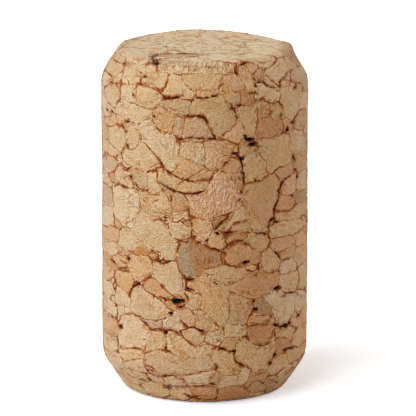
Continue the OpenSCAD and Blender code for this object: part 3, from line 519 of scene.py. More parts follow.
    (0.35, (-41.3, 24, -41.8, 23.2, -43, 22.6, -45, 22.2, -50, 22.4)), (0.4, (-27, 24.1, -24.5, 24.8)),
    (0.25, (-53, 21.5, -50, 21.8, -45, 22, -41, 21.3, -35.5, 20.6)),
    (0.5, (-35, 20.3, -31, 20, -30.3, 19.6)), (0.3, (-24, 23.6, -20, 22.8)),
    (0.35, (-31, 30.6, -28, 30.9, -25.5, 31.2)),
    (0.4, (-48, 19.5, -45.5, 19.3, -43, 19.4, -41, 19.9, -38, 20.1)),
    (0.3, (-29, 19.9, -25, 19.9, -24.8, 19.2)), (0.35, (-55, 17.8, -47.5, 17.7)),
    (0.5, (-54, 16.5, -46.5, 16.6)), (0.3, (-46.9, 17, -43.5, 16.1)),
    (0.5, (-29.5, 16.6, -25.5, 15.9, -20, 14.9)),
    (0.5, (-37.5, 15, -32, 14.5, -25.5, 13.9, -22.5, 13.3, -20, 13)), (0.25, (-45.3, 13.3, -45.6, 12)),
    (0.35, (-56, 10.2, -53, 10.8, -50, 11.1, -44.5, 11.1)), (0.35, (-40, 11, -38, 10.8, -33, 10)),
    (0.55, (-31.5, 11, -28, 11, -25.5, 11.2, -21.5, 11.7)), (0.25, (-34.5, 9, -31.5, 9.6)),
    (0.45, (-56, 6.4, -51, 6.4, -48, 6.7, -43, 7, -37, 7)), (0.4, (-36.8, 7.2, -36.5, 6, -35.5, 5)),
    (0.3, (-51, 5, -47, 5.2, -42, 5.6, -37, 5.8)),
    (0.5, (-35, 5, -32.5, 5.1, -30, 4.9, -27, 4.2, -20, 4.1)), (0.4, (-37, 8.4, -34, 8.4)),
    (0.5, (-52, 4.1, -50.5, 4)), (0.35, (-32, 2.9, -29, 2.7, -22, 2.7)),
))

FRONT_STAINS: tuple[Stain, ...] = tuple(Stain(*row) for row in (
    (-23, 43.1, 3, 0.6), (-10, 43.1, 3.4, 0.5), (4, 43.1, 2.4, 0.4), (-40, 41.6, 4.2, 0.6),
    (-36, 40.8, 4, 0.5), (-63, 40.1, 3, 0.5), (-25.5, 39.9, 1.6, 0.9), (-10, 23.6, 1.4, 0.5),
    (15.5, 38.2, 1.6, 1.1), (22.3, 40.5, 1.2, 0.6), (38.5, 37.5, 1.6, 1), (-35, 5.8, 1, 0.6),
    (-23, 7.6, 1.2, 0.7), (22.5, 14.7, 2.4, 0.7), (47, 35, 2, 0.8), (54, 34.5, 1.4, 1.2),
    (58, 35.3, 1.4, 0.9), (58, 30.7, 1.6, 1.2), (58, 10.7, 2, 0.8), (61, 19, 0.6, 0.4), (49, 27.5, 1.8, 1),
    (-46.5, 33.3, 1.2, 1), (-3.6, 18.7, 1.8, 1.8), (1.5, 19.2, 3, 1), (7.5, 10.7, 1.2, 0.7),
    (8.5, 34.4, 1.8, 0.7), (-47, 18.4, 1.2, 1), (5, 3.1, 1.4, 0.5), (8, 1.7, 1, 0.9), (36.5, 10.9, 1, 0.6),
))

TOP_GRANULES: tuple[Granule, ...] = tuple(Granule(*row) for row in (
    (Tone.OLIVE, (-6.2, -5.2, -3, -4.8, 0.5, -4.9, -0.8, -5.9, -4, -6.6, -6, -6.8)),
    (Tone.PALE, (-11.3, -1.4, -9, -1.8, -7.4, -4.4, -6.9, -7, -7, -9, -8.4, -8, -9.8, -6, -11, -3.4)),
))

TOP_SEAMS: tuple[Seam, ...] = tuple(Seam(*row) for row in (
    (0.4, (-7.6, 0.5, -5, 1.4, -2.5, 2.2)), (0.4, (-1.5, 4.5, 1.5, 5, 3, 4.6)),
    (0.4, (3, -5.6, 5, -4.4, 7, -2.8)), (0.35, (2, -2.5, 4.5, -2, 6, -2.4)),
))

TOP_CREVICES: tuple[Crevice, ...] = tuple(Crevice(*row) for row in (
    (1.2, 1.2, (-6.3, -9, -6.3, -7, -6.1, -5.4)), (0.4, 0.6, (-6.9, -5.6, -6, -5, -3, -4.9, 0.4, -4.6)),
    (0.28, 0.4, (-5.5, -7.7, -3, -6.9, -0.6, -6.4)), (0.2, 0.4, (8.1, -4.4, 8.9, -4.1)),
    (0.2, 0.3, (6.2, -1.2, 7.4, -0.8)),
))

BULGES: tuple[Bulge, ...] = tuple(Bulge(*row) for row in (
    (93, 10.5, 2.6, 0.8, 0.35), (-101, 10.4, 2.4, 0.8, 0.2), (-88, 12.6, 6, 2, 0.18),
    (-170, 10, 5, 2, 0.15), (128, 10, 4, 2, -0.15),
))

FRONT_PITS: tuple[Pit, ...] = tuple(Pit(*row) for row in (
    (16.8, 32.6, 0.9, 0.45, 0.6), (20.6, 31.8, 0.6, 0.6, 0.7), (-43.2, 39.3, 0.25, 0.5, 0.4),
    (-24, 15.6, 0.4, 0.25, 0.4), (-30.2, 20, 0.35, 0.35, 0.5), (-16, 13.8, 1.6, 0.85, 1.0),
    (-12.5, 13.9, 0.7, 0.6, 0.8), (-13.5, 13.1, 0.7, 0.35, 0.6), (-19, 12.2, 0.8, 0.5, 0.8),
    (-22, 9.7, 0.6, 0.6, 0.7), (25.5, 34.2, 1.3, 0.5, 1.0), (27, 33.6, 1.4, 0.5, 1.0),
    (44.5, 14.65, 1.5, 0.6, 0.9), (51, 9.5, 1.3, 0.6, 1.0), (42, 6.1, 0.6, 0.55, 0.8),
    (39, 5.2, 0.5, 0.45, 0.7), (23, 18.65, 1.2, 0.55, 0.7), (19.8, 42.4, 0.7, 0.4, 0.6),
    (30.3, 40.8, 0.4, 0.35, 0.6), (-47.5, 32.7, 0.5, 0.45, 0.8), (-49, 34.5, 0.4, 0.35, 0.6),
    (-52, 35, 0.7, 0.4, 0.5), (-34, 3.1, 0.6, 0.35, 0.6), (-23, 2.1, 1.1, 0.3, 0.6),
    (-33.5, 43.3, 0.9, 0.7, 1.0), (52, 34.6, 0.8, 0.6, 0.6), (57, 35.3, 0.8, 0.5, 0.6),
    (60, 29.2, 0.7, 0.3, 0.7), (63, 28.1, 0.6, 0.6, 0.6), (57, 26, 0.6, 0.3, 0.6),
    (43.5, 23.2, 0.5, 0.25, 0.6), (19.5, 26.6, 0.35, 0.3, 0.6), (20.5, 27.7, 0.6, 0.25, 0.5),
    (1.3, 21.7, 0.3, 0.3, 0.6), (-3, 21.4, 0.4, 0.3, 0.6), (-22, 24.4, 0.4, 0.25, 0.5),
    (-45, 28.9, 0.5, 0.35, 0.5), (-54.5, 9.2, 0.8, 0.6, 0.6), (-47, 18.4, 0.6, 0.6, 0.5),
    (-28.5, 37, 0.3, 0.4, 0.6), (-38.5, 41.6, 0.7, 0.22, 0.4), (-62, 36.5, 0.5, 0.5, 0.5),
    (-69, 36.4, 0.7, 0.4, 0.5), (-61, 42.4, 0.6, 0.3, 0.5), (-63, 40.1, 0.7, 0.2, 0.4),
    (60, 39.6, 0.6, 0.35, 0.5), (65, 10.1, 1, 0.35, 0.6), (28.5, 13.6, 0.35, 0.35, 0.6),
    (29, 12.5, 0.8, 0.45, 0.8), (4, 3.1, 0.8, 0.3, 0.4), (6.5, 5.4, 0.3, 0.4, 0.5),
    (-74, 30.4, 0.8, 0.3, 0.6), (-58.5, 11.8, 0.6, 0.3, 0.5),
))

# How many in 30 of the packed granules have each tone.
TONE_SHARES: tuple[tuple[Tone, int], ...] = (
    (Tone.PALE, 3), (Tone.CREAM, 5), (Tone.STRAW, 3), (Tone.TAN, 4), (Tone.HONEY, 3), (Tone.ROSE, 4),
    (Tone.CLAY, 3), (Tone.RUST, 1), (Tone.BARK, 2), (Tone.OLIVE, 1), (Tone.AMBER, 1),
)


def linear(code: str) -> Triple:
    """Turn an sRGB hex colour into linear light.

    Args:
        code: The colour, such as "#c69a6a".

    Returns:
        Its red, green and blue, each from 0 to 1.
    """
    parts = [int(code[start:start + 2], 16) / 255 for start in (1, 3, 5)]
    red, green, blue = (p / 12.92 if p <= 0.04045 else ((p + 0.055) / 1.055) ** 2.4 for p in parts)
    return red, green, blue


def scatter(*keys: Array | int) -> Array:
    """Mix whole numbers into an even spread of values, the same on every run.

    Args:
        keys: Whole numbers or arrays of them, of shapes that go together.

    Returns:
        Values from 0 to 1, one for each set of keys.
    """
    kept = np.uint64(0xFFFFFFFF)
    mixed = np.uint64(0x9E3779B9)
    for key in keys:
        number = np.asarray(key, dtype=np.int64).astype(np.uint64)
        mixed = mixed ^ (number * np.uint64(0x85EBCA6B) & kept)
        for shift, factor in ((15, 0x2C1B3C6D), (12, 0x297A2D39)):
            mixed = (mixed ^ (mixed >> np.uint64(shift))) * np.uint64(factor) & kept
        mixed = mixed ^ (mixed >> np.uint64(15))
    return mixed.astype(np.float64) / 2**32


def noise(points: Array, size: float, key: int) -> Array:
    """Return smooth noise over space.

    Args:
        points: Places, one row each.
        size: How far apart the noise's ups and downs are, in the points' unit.
        key: Which noise, as a whole number.

    Returns:
        A value from -1 to 1 for each place.
    """
    scaled = points / size + 1000.5
    cell = np.floor(scaled).astype(np.int64)
    part = scaled - cell
    ease = part * part * part * (part * (part * 6 - 15) + 10)
    total = np.zeros(len(points))
    for corner in np.ndindex(2, 2, 2):
        share = np.prod(np.where(corner, ease, 1 - ease), axis=1)
        near = cell + corner
        total += share * scatter(near[:, 0], near[:, 1], near[:, 2], key)
    return total * 2 - 1


def smooth(value: Array, low: float, high: float) -> Array:
    """Return 0 below low, 1 above high and an S curve between them."""
    part = np.clip((value - low) / (high - low), 0, 1)
    return part * part * (3 - 2 * part)


def bell(value: Array, width: float) -> Array:
    """Return 1 where the value is 0, falling off over a width on both sides."""
    return np.exp(-((value / width) ** 2))


def line_distance(points: Array, line: Array) -> tuple[Array, Array, Array]:
    """Measure how far points are from a line of straight stretches.

    Args:
        points: Places in the plane, one row each.
        line: The line's own points, one row each.

    Returns:
        The distance of each place, how far along the line its nearest point is, and which
        side of the line it is on, as 1 or -1.
    """
    nearest = np.full(len(points), np.inf)
    along = np.zeros(len(points))
    side = np.ones(len(points))
    start = 0.0
    for tail, head in zip(line, line[1:]):
        step = head - tail
        length = float(np.hypot(*step))
        share = np.clip((points - tail) @ step / length**2, 0, 1)
        off = points - tail
        distance = np.hypot(*(off - share[:, None] * step).T)
        closer = distance < nearest
        nearest = np.where(closer, distance, nearest)
        along = np.where(closer, start + share * length, along)
        side = np.where(closer, np.where(step[0] * off[:, 1] > step[1] * off[:, 0], 1, -1), side)
        start += length
    return nearest, along, side


def from_ends(line: Array, along: Array) -> Array:
    """Return how far places along a line are from the nearer of its ends."""
    whole = np.hypot(*np.diff(line, axis=0).T).sum()
    return np.minimum(along, whole - along)


def close_by(places: Array, line: Array, reach: float) -> Array:
    """Return the numbers of the places within reach of the box round a line."""
    low, high = line.min(axis=0) - reach, line.max(axis=0) + reach
    return np.flatnonzero(((places > low) & (places < high)).all(axis=1))


def depth_inside(points: Array, corners: Array) -> Array:
    """Measure how deep inside a closed outline points are.

    Args:
        points: Places in the plane, one row each.
        corners: The outline's corners in order, one row each.

    Returns:
        The distance of each place from the outline, below 0 where it is outside.
    """
    closed = np.vstack([corners, corners[:1]])
    distance, _, _ = line_distance(points, closed)
    inside = np.zeros(len(points), dtype=bool)
    for tail, head in zip(closed, closed[1:]):
        spans = (tail[1] > points[:, 1]) != (head[1] > points[:, 1])
        rise = head[1] - tail[1] or 1e-9
        crossing = tail[0] + (points[:, 1] - tail[1]) * (head[0] - tail[0]) / rise
        inside ^= spans & (points[:, 0] < crossing)
    return np.where(inside, distance, -distance)


def keep_best(depths: Array, owners: Array, near: Array, depth: Array, who: Array) -> None:
    """Put new claims on some points into the lists of the best claims.

    Args:
        depths: The best depths of every point, one row for each place, changed in place.
        owners: Who has them, changed in place.
        near: The points that the new claims are on.
        depth: The new depths.
        who: Who makes the new claims.
    """
    for place in range(len(depths)):
        wins = depth > depths[place, near]
        old_depth, old_who = depths[place, near], owners[place, near]
        depths[place, near] = np.where(wins, depth, old_depth)
        owners[place, near] = np.where(wins, who, old_who)
        depth, who = np.where(wins, old_depth, depth), np.where(wins, old_who, who)


@dataclass
class PlugForm:
    """The plug as it is ground: a straight round body with a bevel at each end.

    A place on it is a turn round from the front, in radians, and a run down the half outline
    from the middle of the top face.
    """

    radius: float
    length: float
    top_bevel_len: float = 3.7
    top_bevel_in: float = 2.4
    base_bevel_len: float = 4.2
    base_bevel_in: float = 2.8
    shoulder_round: float = 3.3
    rim_round: float = 1.2
    rim_reach: float = 0.5
    round_steps: int = 16
    trace_step: float = 0.05
    outline: Array = field(init=False)

    def __post_init__(self) -> None:
        """Trace the half outline: run, radius, height and the outward direction at each step."""
        corners = np.array([
            (0, self.length),
            (self.radius - self.top_bevel_in, self.length),
            (self.radius, self.length - self.top_bevel_len),
            (self.radius, self.base_bevel_len),
            (self.radius - self.base_bevel_in, 0),
            (0, 0),
        ])
        rounds = (self.rim_round, self.shoulder_round, self.shoulder_round, self.rim_round)
        path = [corners[:1]]
        for before, corner, after, size in zip(corners, corners[1:], corners[2:], rounds):
            path.append(self._rounded(before, corner, after, size))
        path.append(corners[-1:])
        line = np.vstack(path)
        run = np.concatenate([[0], np.cumsum(np.hypot(*np.diff(line, axis=0).T))])
        steps = np.linspace(0, run[-1], int(run[-1] / self.trace_step))
        radius, height = (np.interp(steps, run, line[:, axis]) for axis in (0, 1))
        across, down = np.gradient(radius), np.gradient(height)
        size = np.hypot(across, down)
        self.outline = np.stack([steps, radius, height, -down / size, across / size])

    def _rounded(self, before: Array, corner: Array, after: Array, size: float) -> Array:
        """Round one corner of the outline.

        Args:
            before: The corner before it.
            corner: The corner to round.
            after: The corner after it.
            size: The radius of the rounding.

        Returns:
            Points along the arc, one row each.
        """
        back, on = before - corner, after - corner
        back, on = back / np.hypot(*back), on / np.hypot(*on)
        half = math.acos(float(back @ on)) / 2
        middle = (back + on) / np.hypot(*(back + on))
        centre = corner + middle * size / math.sin(half)
        first, last = (corner + way * size / math.tan(half) - centre for way in (back, on))
        start = math.atan2(first[1], first[0])
        sweep = math.remainder(math.atan2(last[1], last[0]) - start, math.tau)
        angles = start + sweep * np.linspace(0, 1, self.round_steps)
        return centre + size * np.stack([np.cos(angles), np.sin(angles)], axis=1)

    @property
    def whole_run(self) -> float:
        """Return the run from the middle of the top face to the middle of the base."""
        return float(self.outline[0, -1])

    def flat(self, line: Places) -> Array:
        """Turn places on the side, bevels included, into millimetres round and run.

        Args:
            line: Angles in degrees and heights, one after the other.

        Returns:
            The places, one row each.
        """
        angle, height = np.array(line, dtype=float).reshape(-1, 2).T
        ends = self.radius - max(self.top_bevel_in, self.base_bevel_in) - self.rim_reach
        side = self.outline[1] > ends
        run = np.interp(-height, -self.outline[2, side], self.outline[0, side])
        return np.stack([self.radius * np.radians(angle), run], axis=1)

    def flat_top(self, line: Places) -> Array:
        """Turn places on the top face, in millimetres right and back, into round and run."""
        right, back = np.array(line, dtype=float).reshape(-1, 2).T
        return self.unrolled(np.stack([right, back], axis=1), np.hypot(right, back))

    def unrolled(self, way: Array, run: Array) -> Array:
        """Turn directions round the axis and runs into millimetres round and run."""
        return np.stack([self.radius * np.arctan2(way[:, 0], -way[:, 1]), run], axis=1)

    def ring(self, run: Array) -> tuple[Array, Array]:
        """Return the radius and height at each run."""
        return tuple(np.interp(run, self.outline[0], self.outline[row]) for row in (1, 2))

    def points(self, way: Array, run: Array, rise: Array | float = 0.0) -> Array:
        """Place points on the form.

        Args:
            way: The outward direction round the axis, one unit row of x and y each.
            run: The run of each point.
            rise: How far each point stands off the form.

        Returns:
            The points, one row each.
        """
        radius, height = self.ring(run)
        out, up = (np.interp(run, self.outline[0], self.outline[row]) for row in (3, 4))
        reach = radius + rise * out
        return np.column_stack([way * reach[:, None], height + rise * up])


@dataclass
class Reading:
    """What the skin is at each of its points.

    It holds the granule and its two nearest neighbours, the distances to the border with the
    first and to where all three meet, the distance to the nearest line with a sign for its two
    sides, the strength of a glue line laid there or -1, the distance to the granules' own
    border, how far inside a break the point is, and the break's depth.
    """

    owner: Array
    other: Array
    third: Array
    edge: Array
    corner: Array
    side: Array
    laid: Array
    border: Array
    openness: Array
    depth: Array

    def joined(self, more: "Reading") -> "Reading":
        """Return this reading with that of more points at its end."""
        pairs = zip(vars(self).values(), vars(more).values())
        return Reading(*(np.concatenate(pair) for pair in pairs))


@dataclass
class GranuleLay:
    """Where each cork granule lies: the front's as listed, the rest packed at random.

    A random granule grows evenly from its middle until it meets the next ones. Granules lie
    flat, so they are wider than they are tall.
    """

    form: PlugForm
    seed: int = 11
    largest: float = 2.3
    smallest: float = 0.42
    classes: int = 6
    tries_each: int = 2600
    flatness: float = 1.35
    warp_sizes: tuple[tuple[float, float], ...] = ((1.5, 0.16), (0.5, 0.08), (0.25, 0.05))
    reach: float = 1.6
    nowhere: float = -6.4
    end_inset: float = 3.0
    batch: int = 4000
    plots: list[Array] = field(init=False)
    middles: Array = field(init=False)
    sizes: Array = field(init=False)

    def __post_init__(self) -> None:
        """Lay out the front's granules, then pack the rest from the largest down."""
        self.plots = [self.form.flat(granule.outline) for granule in FRONT_GRANULES]
        self.plots += [self.form.flat_top(granule.outline) for granule in TOP_GRANULES]
        draw = np.random.default_rng(self.seed)
        area = np.cumsum(self.form.outline[1])
        middles = np.zeros((0, 3))
        sizes = np.zeros(0)
        limits = np.geomspace(self.largest, self.smallest, self.classes + 1)
        for most, least in zip(limits, limits[1:]):
            run = np.interp(draw.uniform(0, area[-1], self.tries_each), area, self.form.outline[0])
            turn = draw.uniform(-math.pi, math.pi, self.tries_each)
            way = np.stack([np.sin(turn), -np.cos(turn)], axis=1)
            depths, _ = self._laid_depths(way, run)
            for spot, room in zip(self._scaled(self.form.points(way, run)), -depths[0]):
                if room < least:
                    continue
                if len(sizes):
                    room = min(room, float((np.sqrt(((middles - spot) ** 2).sum(axis=1)) - sizes).min()))
                if room >= least:
                    middles = np.vstack([middles, spot])
                    sizes = np.append(sizes, min(room, most))
        self.middles = middles
        self.sizes = sizes

    def _scaled(self, points: Array) -> Array:
        """Stretch points upwards, so that even growth gives granules that lie flat."""
        return points * (1, 1, self.flatness)

    def _laid_depths(self, way: Array, run: Array) -> tuple[Array, Array]:
        """Find the three listed granules that hold each point best.

        Args:
            way: The points' direction round the axis.
            run: Their run.

        Returns:
            The three best depths inside a granule as three rows, and the granules' numbers.
        """
        flat = self.form.unrolled(way, run)
        depths = np.full((3, len(run)), self.nowhere)
        owners = np.zeros((3, len(run)), dtype=np.int64)
        for number, plot in enumerate(self.plots):
            near = close_by(flat, plot, self.reach)
            keep_best(depths, owners, near, depth_inside(flat[near], plot), np.full(len(near), number))
        return depths, owners

    def read(self, way: Array, run: Array) -> Reading:
        """Find which granule each point of the skin belongs to.

        Args:
            way: The points' direction round the axis.
            run: Their run.

        Returns:
            The reading there, with no glue line or break in it yet.
        """
        plain = points = self.form.points(way, run)
        for number, (size, amount) in enumerate(self.warp_sizes):
            moves = [noise(points, size, self.seed + 10 * number + axis) for axis in range(3)]
            points = points + amount * np.stack(moves, axis=1)
        reach = np.hypot(points[:, 0], points[:, 1])
        moved_way = points[:, :2] / np.maximum(reach, 1e-6)[:, None]
        on_side = self.form.ring(run)[0] > self.form.radius - self.end_inset
        moved_run = np.where(on_side, run + (plain[:, 2] - points[:, 2]), run)
        depths, owners = self._laid_depths(moved_way, moved_run)
        spots = self._scaled(points)
        everyone = np.arange(len(self.sizes)) + len(self.plots)
        for start in range(0, len(spots), self.batch):
            part = np.arange(start, min(start + self.batch, len(spots)))
            spot = spots[part]
            squares = (spot**2).sum(axis=1)[:, None] + (self.middles**2).sum(axis=1)
            depth = self.sizes - np.sqrt(np.maximum(squares - 2 * spot @ self.middles.T, 0))
            for _ in range(3):
                best = depth.argmax(axis=1)
                rows = np.arange(len(part))
                keep_best(depths, owners, part, depth[rows, best], everyone[best])
                depth[rows, best] = -np.inf
        edge, corner = (depths[0] - depths[1]) / 2, (depths[0] - depths[2]) / 2
        side = np.where(owners[0] < owners[1], edge, -edge)
        none = np.zeros(len(run))
        return Reading(*owners, edge, corner, side, none - 1, edge.copy(), none.copy(), none.copy())


@dataclass
class GlueLines:
    """The thin glue lines that lie inside granules or along them, as listed."""

    form: PlugForm
    seed: int = 60
    jag_size: float = 0.6
    jag: float = 0.06
    thin_end: float = 0.3
    taper: float = 0.5
    reach: float = 1.2
    merge: float = 0.15
    lines: list[tuple[float, Array]] = field(init=False)

    def __post_init__(self) -> None:
        """Lay the lines out on the skin."""
        self.lines = [(seam.strength, self.form.flat(seam.line)) for seam in FRONT_SEAMS]
        self.lines += [(seam.strength, self.form.flat_top(seam.line)) for seam in TOP_SEAMS]

    def draw(self, way: Array, run: Array, reading: Reading) -> None:
        """Put each line into a reading, where it is nearer than the granules' own borders.

        Args:
            way: The points' direction round the axis.
            run: Their run.
            reading: What the skin is there, changed in place.
        """
        points = self.form.points(way, run)
        flat = self.form.unrolled(way, run)
        for axis in range(2):
            flat[:, axis] += self.jag * noise(points, self.jag_size, self.seed + axis)
        nearest = np.full(len(run), self.reach)
        side = np.zeros(len(run))
        strength = np.full(len(run), -1.0)
        for strong, line in self.lines:
            near = close_by(flat, line, self.reach)
            distance, along, turned = line_distance(flat[near], line)
            ends = np.clip(self.thin_end + from_ends(line, along) / self.taper, 0, 1)
            wins = distance < nearest[near]
            rows = near[wins]
            nearest[rows] = distance[wins]
            side[rows] = (turned * distance)[wins]
            strength[rows] = strong * ends[wins]
        wins = (strength >= 0) & (nearest - self.merge < reading.edge)
        reading.edge[wins] = nearest[wins]
        reading.side[wins] = side[wins]
        reading.laid[wins] = strength[wins]


@dataclass
class Breaks:
    """The open crevices, the broken-out pits and the stains round them, as listed."""

    form: PlugForm
    seed: int = 40
    jag_size: float = 0.5
    jag: float = 0.1
    swells: tuple[tuple[float, float], ...] = ((1.1, 0.5), (0.45, 0.7))
    closed: float = -2.0
    reach: float = 1.0
    taper: float = 0.9
    thinnest: float = 0.35
    crevice_base: float = 0.85
    crevice_swell: float = 1.3
    crevice_limits: tuple[float, float] = (0.15, 2.0)
    pit_swell: float = 0.2
    stain_swell: float = 0.35
    stain_reach: float = 2.0
    stain_start: float = -0.45
    stain_more: float = 0.33
    stain_edge: tuple[float, float] = (-0.3, 0.6)
    full_depth_half: float = 0.2
    least_depth: float = 0.2
    wall: float = 0.75

    def mark(self, way: Array, run: Array, reading: Reading) -> None:
        """Put the breaks into a reading: how far inside one each point is, and how deep it goes.

        Args:
            way: The points' direction round the axis.
            run: Their run.
            reading: What the skin is there, changed in place.
        """
        points = self.form.points(way, run)
        flat = self.form.unrolled(way, run)
        for axis in range(2):
            flat[:, axis] += self.jag * noise(points, self.jag_size, self.seed + axis)
            flat[:, axis] += self.jag / 2 * noise(points, self.jag_size / 3, self.seed + 5 + axis)
        swell = sum(amount * noise(points, size, self.seed + 9 + number)
                    for number, (size, amount) in enumerate(self.swells))
        reading.openness[:] = self.closed
        lines = [(crevice, self.form.flat(crevice.line)) for crevice in FRONT_CREVICES]
        lines += [(crevice, self.form.flat_top(crevice.line)) for crevice in TOP_CREVICES]
        for crevice, line in lines:
            near = close_by(flat, line, self.reach)
            distance, along, _ = line_distance(flat[near], line)
            half = crevice.width / 2 * np.clip(self.thinnest + from_ends(line, along) / self.taper, 0, 1)
            half = half * np.clip(self.crevice_base + self.crevice_swell * swell[near], *self.crevice_limits)
            self._take(reading, near, 1 - distance / half, half, crevice.depth)
        for pit in FRONT_PITS:
            half = np.array([pit.across, pit.tall]) / 2
            near, spread = self._spread(flat, pit, 1 + self.reach / half)
            inside = 1 - spread * (1 + self.pit_swell * swell[near])
            self._take(reading, near, inside, np.full(len(near), half.min()), pit.depth)
        for stain in FRONT_STAINS:
            near, spread = self._spread(flat, stain, self.stain_reach)
            inside = 1 - spread * (1 + self.stain_swell * swell[near])
            close = self.stain_start + self.stain_more * smooth(inside, *self.stain_edge)
            reading.openness[near] = np.maximum(reading.openness[near], close)

    def _spread(self, flat: Array, spot: Pit | Stain, reach: Array | float) -> tuple[Array, Array]:
        """Measure how far places are from the middle of an oval spot.

        Args:
            flat: Places in millimetres round and run.
            spot: The pit or stain.
            reach: How far to look, as a share of half its size.

        Returns:
            The numbers of the places that near, and how far each is as a share of the way out.
        """
        centre = self.form.flat((spot.angle, spot.height))[0]
        offset = (flat - centre) / (np.array([spot.across, spot.tall]) / 2)
        near = np.flatnonzero((np.abs(offset) < reach).all(axis=1))
        return near, np.hypot(*offset[near].T)

    def _take(self, reading: Reading, near: Array, inside: Array, half: Array, deepest: float) -> None:
        """Lay one break over those before it, keeping whichever is more open and deeper.

        Args:
            reading: What the skin is, changed in place.
            near: The numbers of the points round the break.
            inside: How far inside it each is, as a share of the way in.
            half: Half the break's width there.
            deepest: Its depth in the middle.
        """
        share = np.clip(half / self.full_depth_half, self.least_depth, 1)
        depth = share * deepest * smooth(inside, 0.0, self.wall)
        reading.openness[near] = np.maximum(reading.openness[near], inside * half)
        reading.depth[near] = np.maximum(reading.depth[near], depth)


@dataclass
class SkinMesh:
    """A closed skin of triangles over the plug, finer where the granules meet."""

    form: PlugForm
    step: float = 0.55
    way: Array = field(init=False)
    run: Array = field(init=False)
    faces: Array = field(init=False)

    def __post_init__(self) -> None:
        """Lay rings of points down the outline and stitch each to the next."""
        count = round(self.form.whole_run / self.step)
        turns, runs, rings, faces = [], [], [], []
        for number, run in enumerate(np.linspace(0, self.form.whole_run, count + 1)):
            radius = float(self.form.ring(run)[0])
            points = 1 if radius < self.step / 2 else max(6, round(math.tau * radius / self.step))
            turn = (np.arange(points) + 0.5 * (number % 2)) * math.tau / points
            rings.append((sum(len(t) for t in turns), turn))
            turns.append(turn)
            runs.append(np.full(points, run))
        for upper, lower in zip(rings, rings[1:]):
            faces.extend(self._stitch(upper, lower))
        turn = np.concatenate(turns)
        self.way = np.stack([np.sin(turn), -np.cos(turn)], axis=1)
        self.run = np.concatenate(runs)
        self.faces = np.array(faces)

    @staticmethod
    def _stitch(upper: tuple[int, Array], lower: tuple[int, Array]) -> list[tuple[int, int, int]]:
        """Join two rings with triangles.

        Args:
            upper: The upper ring's first point and the turns of all its points.
            lower: The same of the lower ring.

        Returns:
            The triangles, as numbers of points.
        """
        (top, top_turns), (low, low_turns) = upper, lower
        top_count, low_count = len(top_turns), len(low_turns)
        if top_count == 1:
            return [(top, low + n, low + (n + 1) % low_count) for n in range(low_count)]
        if low_count == 1:
            return [(low, top + (n + 1) % top_count, top + n) for n in range(top_count)]
        top_next = np.append(top_turns[1:], top_turns[0] + math.tau)
        low_next = np.append(low_turns[1:], low_turns[0] + math.tau)
        faces = []
        i = j = 0
        while i < top_count or j < low_count:
            here, below = top + i % top_count, low + j % low_count
            if j == low_count or (i < top_count and top_next[i] <= low_next[j]):
                faces.append((here, below, top + (i + 1) % top_count))
                i += 1
            else:
                faces.append((here, below, low + (j + 1) % low_count))
                j += 1
        return faces

    def refine(self, wanted: Array) -> int:
        """Split the edges that are longer than wanted, and what keeps the triangles shapely.

        Args:
            wanted: The longest edge wanted at each point.

        Returns:
            How many points were added.
        """
        points = self.form.points(self.way, self.run)
        ends = np.sort(self.faces[:, [0, 1, 1, 2, 2, 0]].reshape(-1, 2), axis=1)
        keys, sides = np.unique(ends[:, 0] * len(self.run) + ends[:, 1], return_inverse=True)
        sides = sides.reshape(-1, 3)
        first, last = keys // len(self.run), keys % len(self.run)
        length = np.sqrt(((points[first] - points[last]) ** 2).sum(axis=1))
        split = length > np.minimum(wanted[first], wanted[last])
        longest = sides[np.arange(len(sides)), length[sides].argmax(axis=1)]
        while True:
            more = split[sides].any(axis=1) & ~split[longest]
            if not more.any():
                break
            split[longest[more]] = True
        middle = np.full(len(keys), -1)
        middle[split] = len(self.run) + np.arange(split.sum())
        radius = self.form.ring(self.run)[0][:, None]
        both = self.way[first] * radius[first] + self.way[last] * radius[last]
        both = (both / np.maximum(np.hypot(*both.T), 1e-9)[:, None])[split]
        self.way = np.vstack([self.way, both])
        self.run = np.append(self.run, (self.run[first][split] + self.run[last][split]) / 2)
        self.faces = self._divided(self.faces, middle[sides], length[sides].argmax(axis=1))
        return int(split.sum())

    @staticmethod
    def _divided(faces: Array, middles: Array, longest: Array) -> Array:
        """Divide triangles in two, three or four through the middles of their split sides.

        Args:
            faces: The triangles, as numbers of points.
            middles: The new point on each of their sides, or -1 where a side is whole.
            longest: Which side of each is the longest.

        Returns:
            The new triangles.
        """
        order = (longest[:, None] + np.arange(3)) % 3
        a, b, c = np.take_along_axis(faces, order, axis=1).T
        ab, bc, ca = np.take_along_axis(middles, order, axis=1).T
        whole, right, left = ab < 0, bc >= 0, ca >= 0
        two = ~whole
        parts = (
            (a, b, c, whole),
            (a, ab, c, two & ~left),
            (a, ab, ca, two & left),
            (ab, c, ca, two & left),
            (ab, b, c, two & ~right),
            (ab, b, bc, two & right),
            (ab, bc, c, two & right),
        )
        return np.vstack([np.stack(corners, axis=1)[chosen] for *corners, chosen in parts])


def add_node(tree: NodeTree, kind: str, inputs: dict[str | int, Source | Paint] | None = None,
             **settings: str) -> Node:
    """Add a node with its settings and links.

    Args:
        tree: The tree that it joins.
        kind: The node's type name.
        inputs: For each input, a value, the socket that feeds it or the node whose first output does.
        **settings: The node's own properties.

    Returns:
        The new node.
    """
    node = tree.nodes.new(kind)
    for name, value in settings.items():
        setattr(node, name, value)
    for name, value in (inputs or {}).items():
        if isinstance(value, Node):
            value = value.outputs[0]
        if isinstance(value, NodeSocket):
            tree.links.new(value, node.inputs[name])
        else:
            node.inputs[name].default_value = value
    return node


def per_metre(size: float) -> float:
    """Return the texture scale that gives a pattern its size in millimetres."""
    return 1 / (size * MM)


@dataclass(frozen=True)
class Pattern:
    """Soft blotches of a real size in millimetres, squeezed along each way by a factor."""

    size: float
    detail: float
    squeeze: Triple = (1.0, 1.0, 1.0)
    swirl: float = 0.0


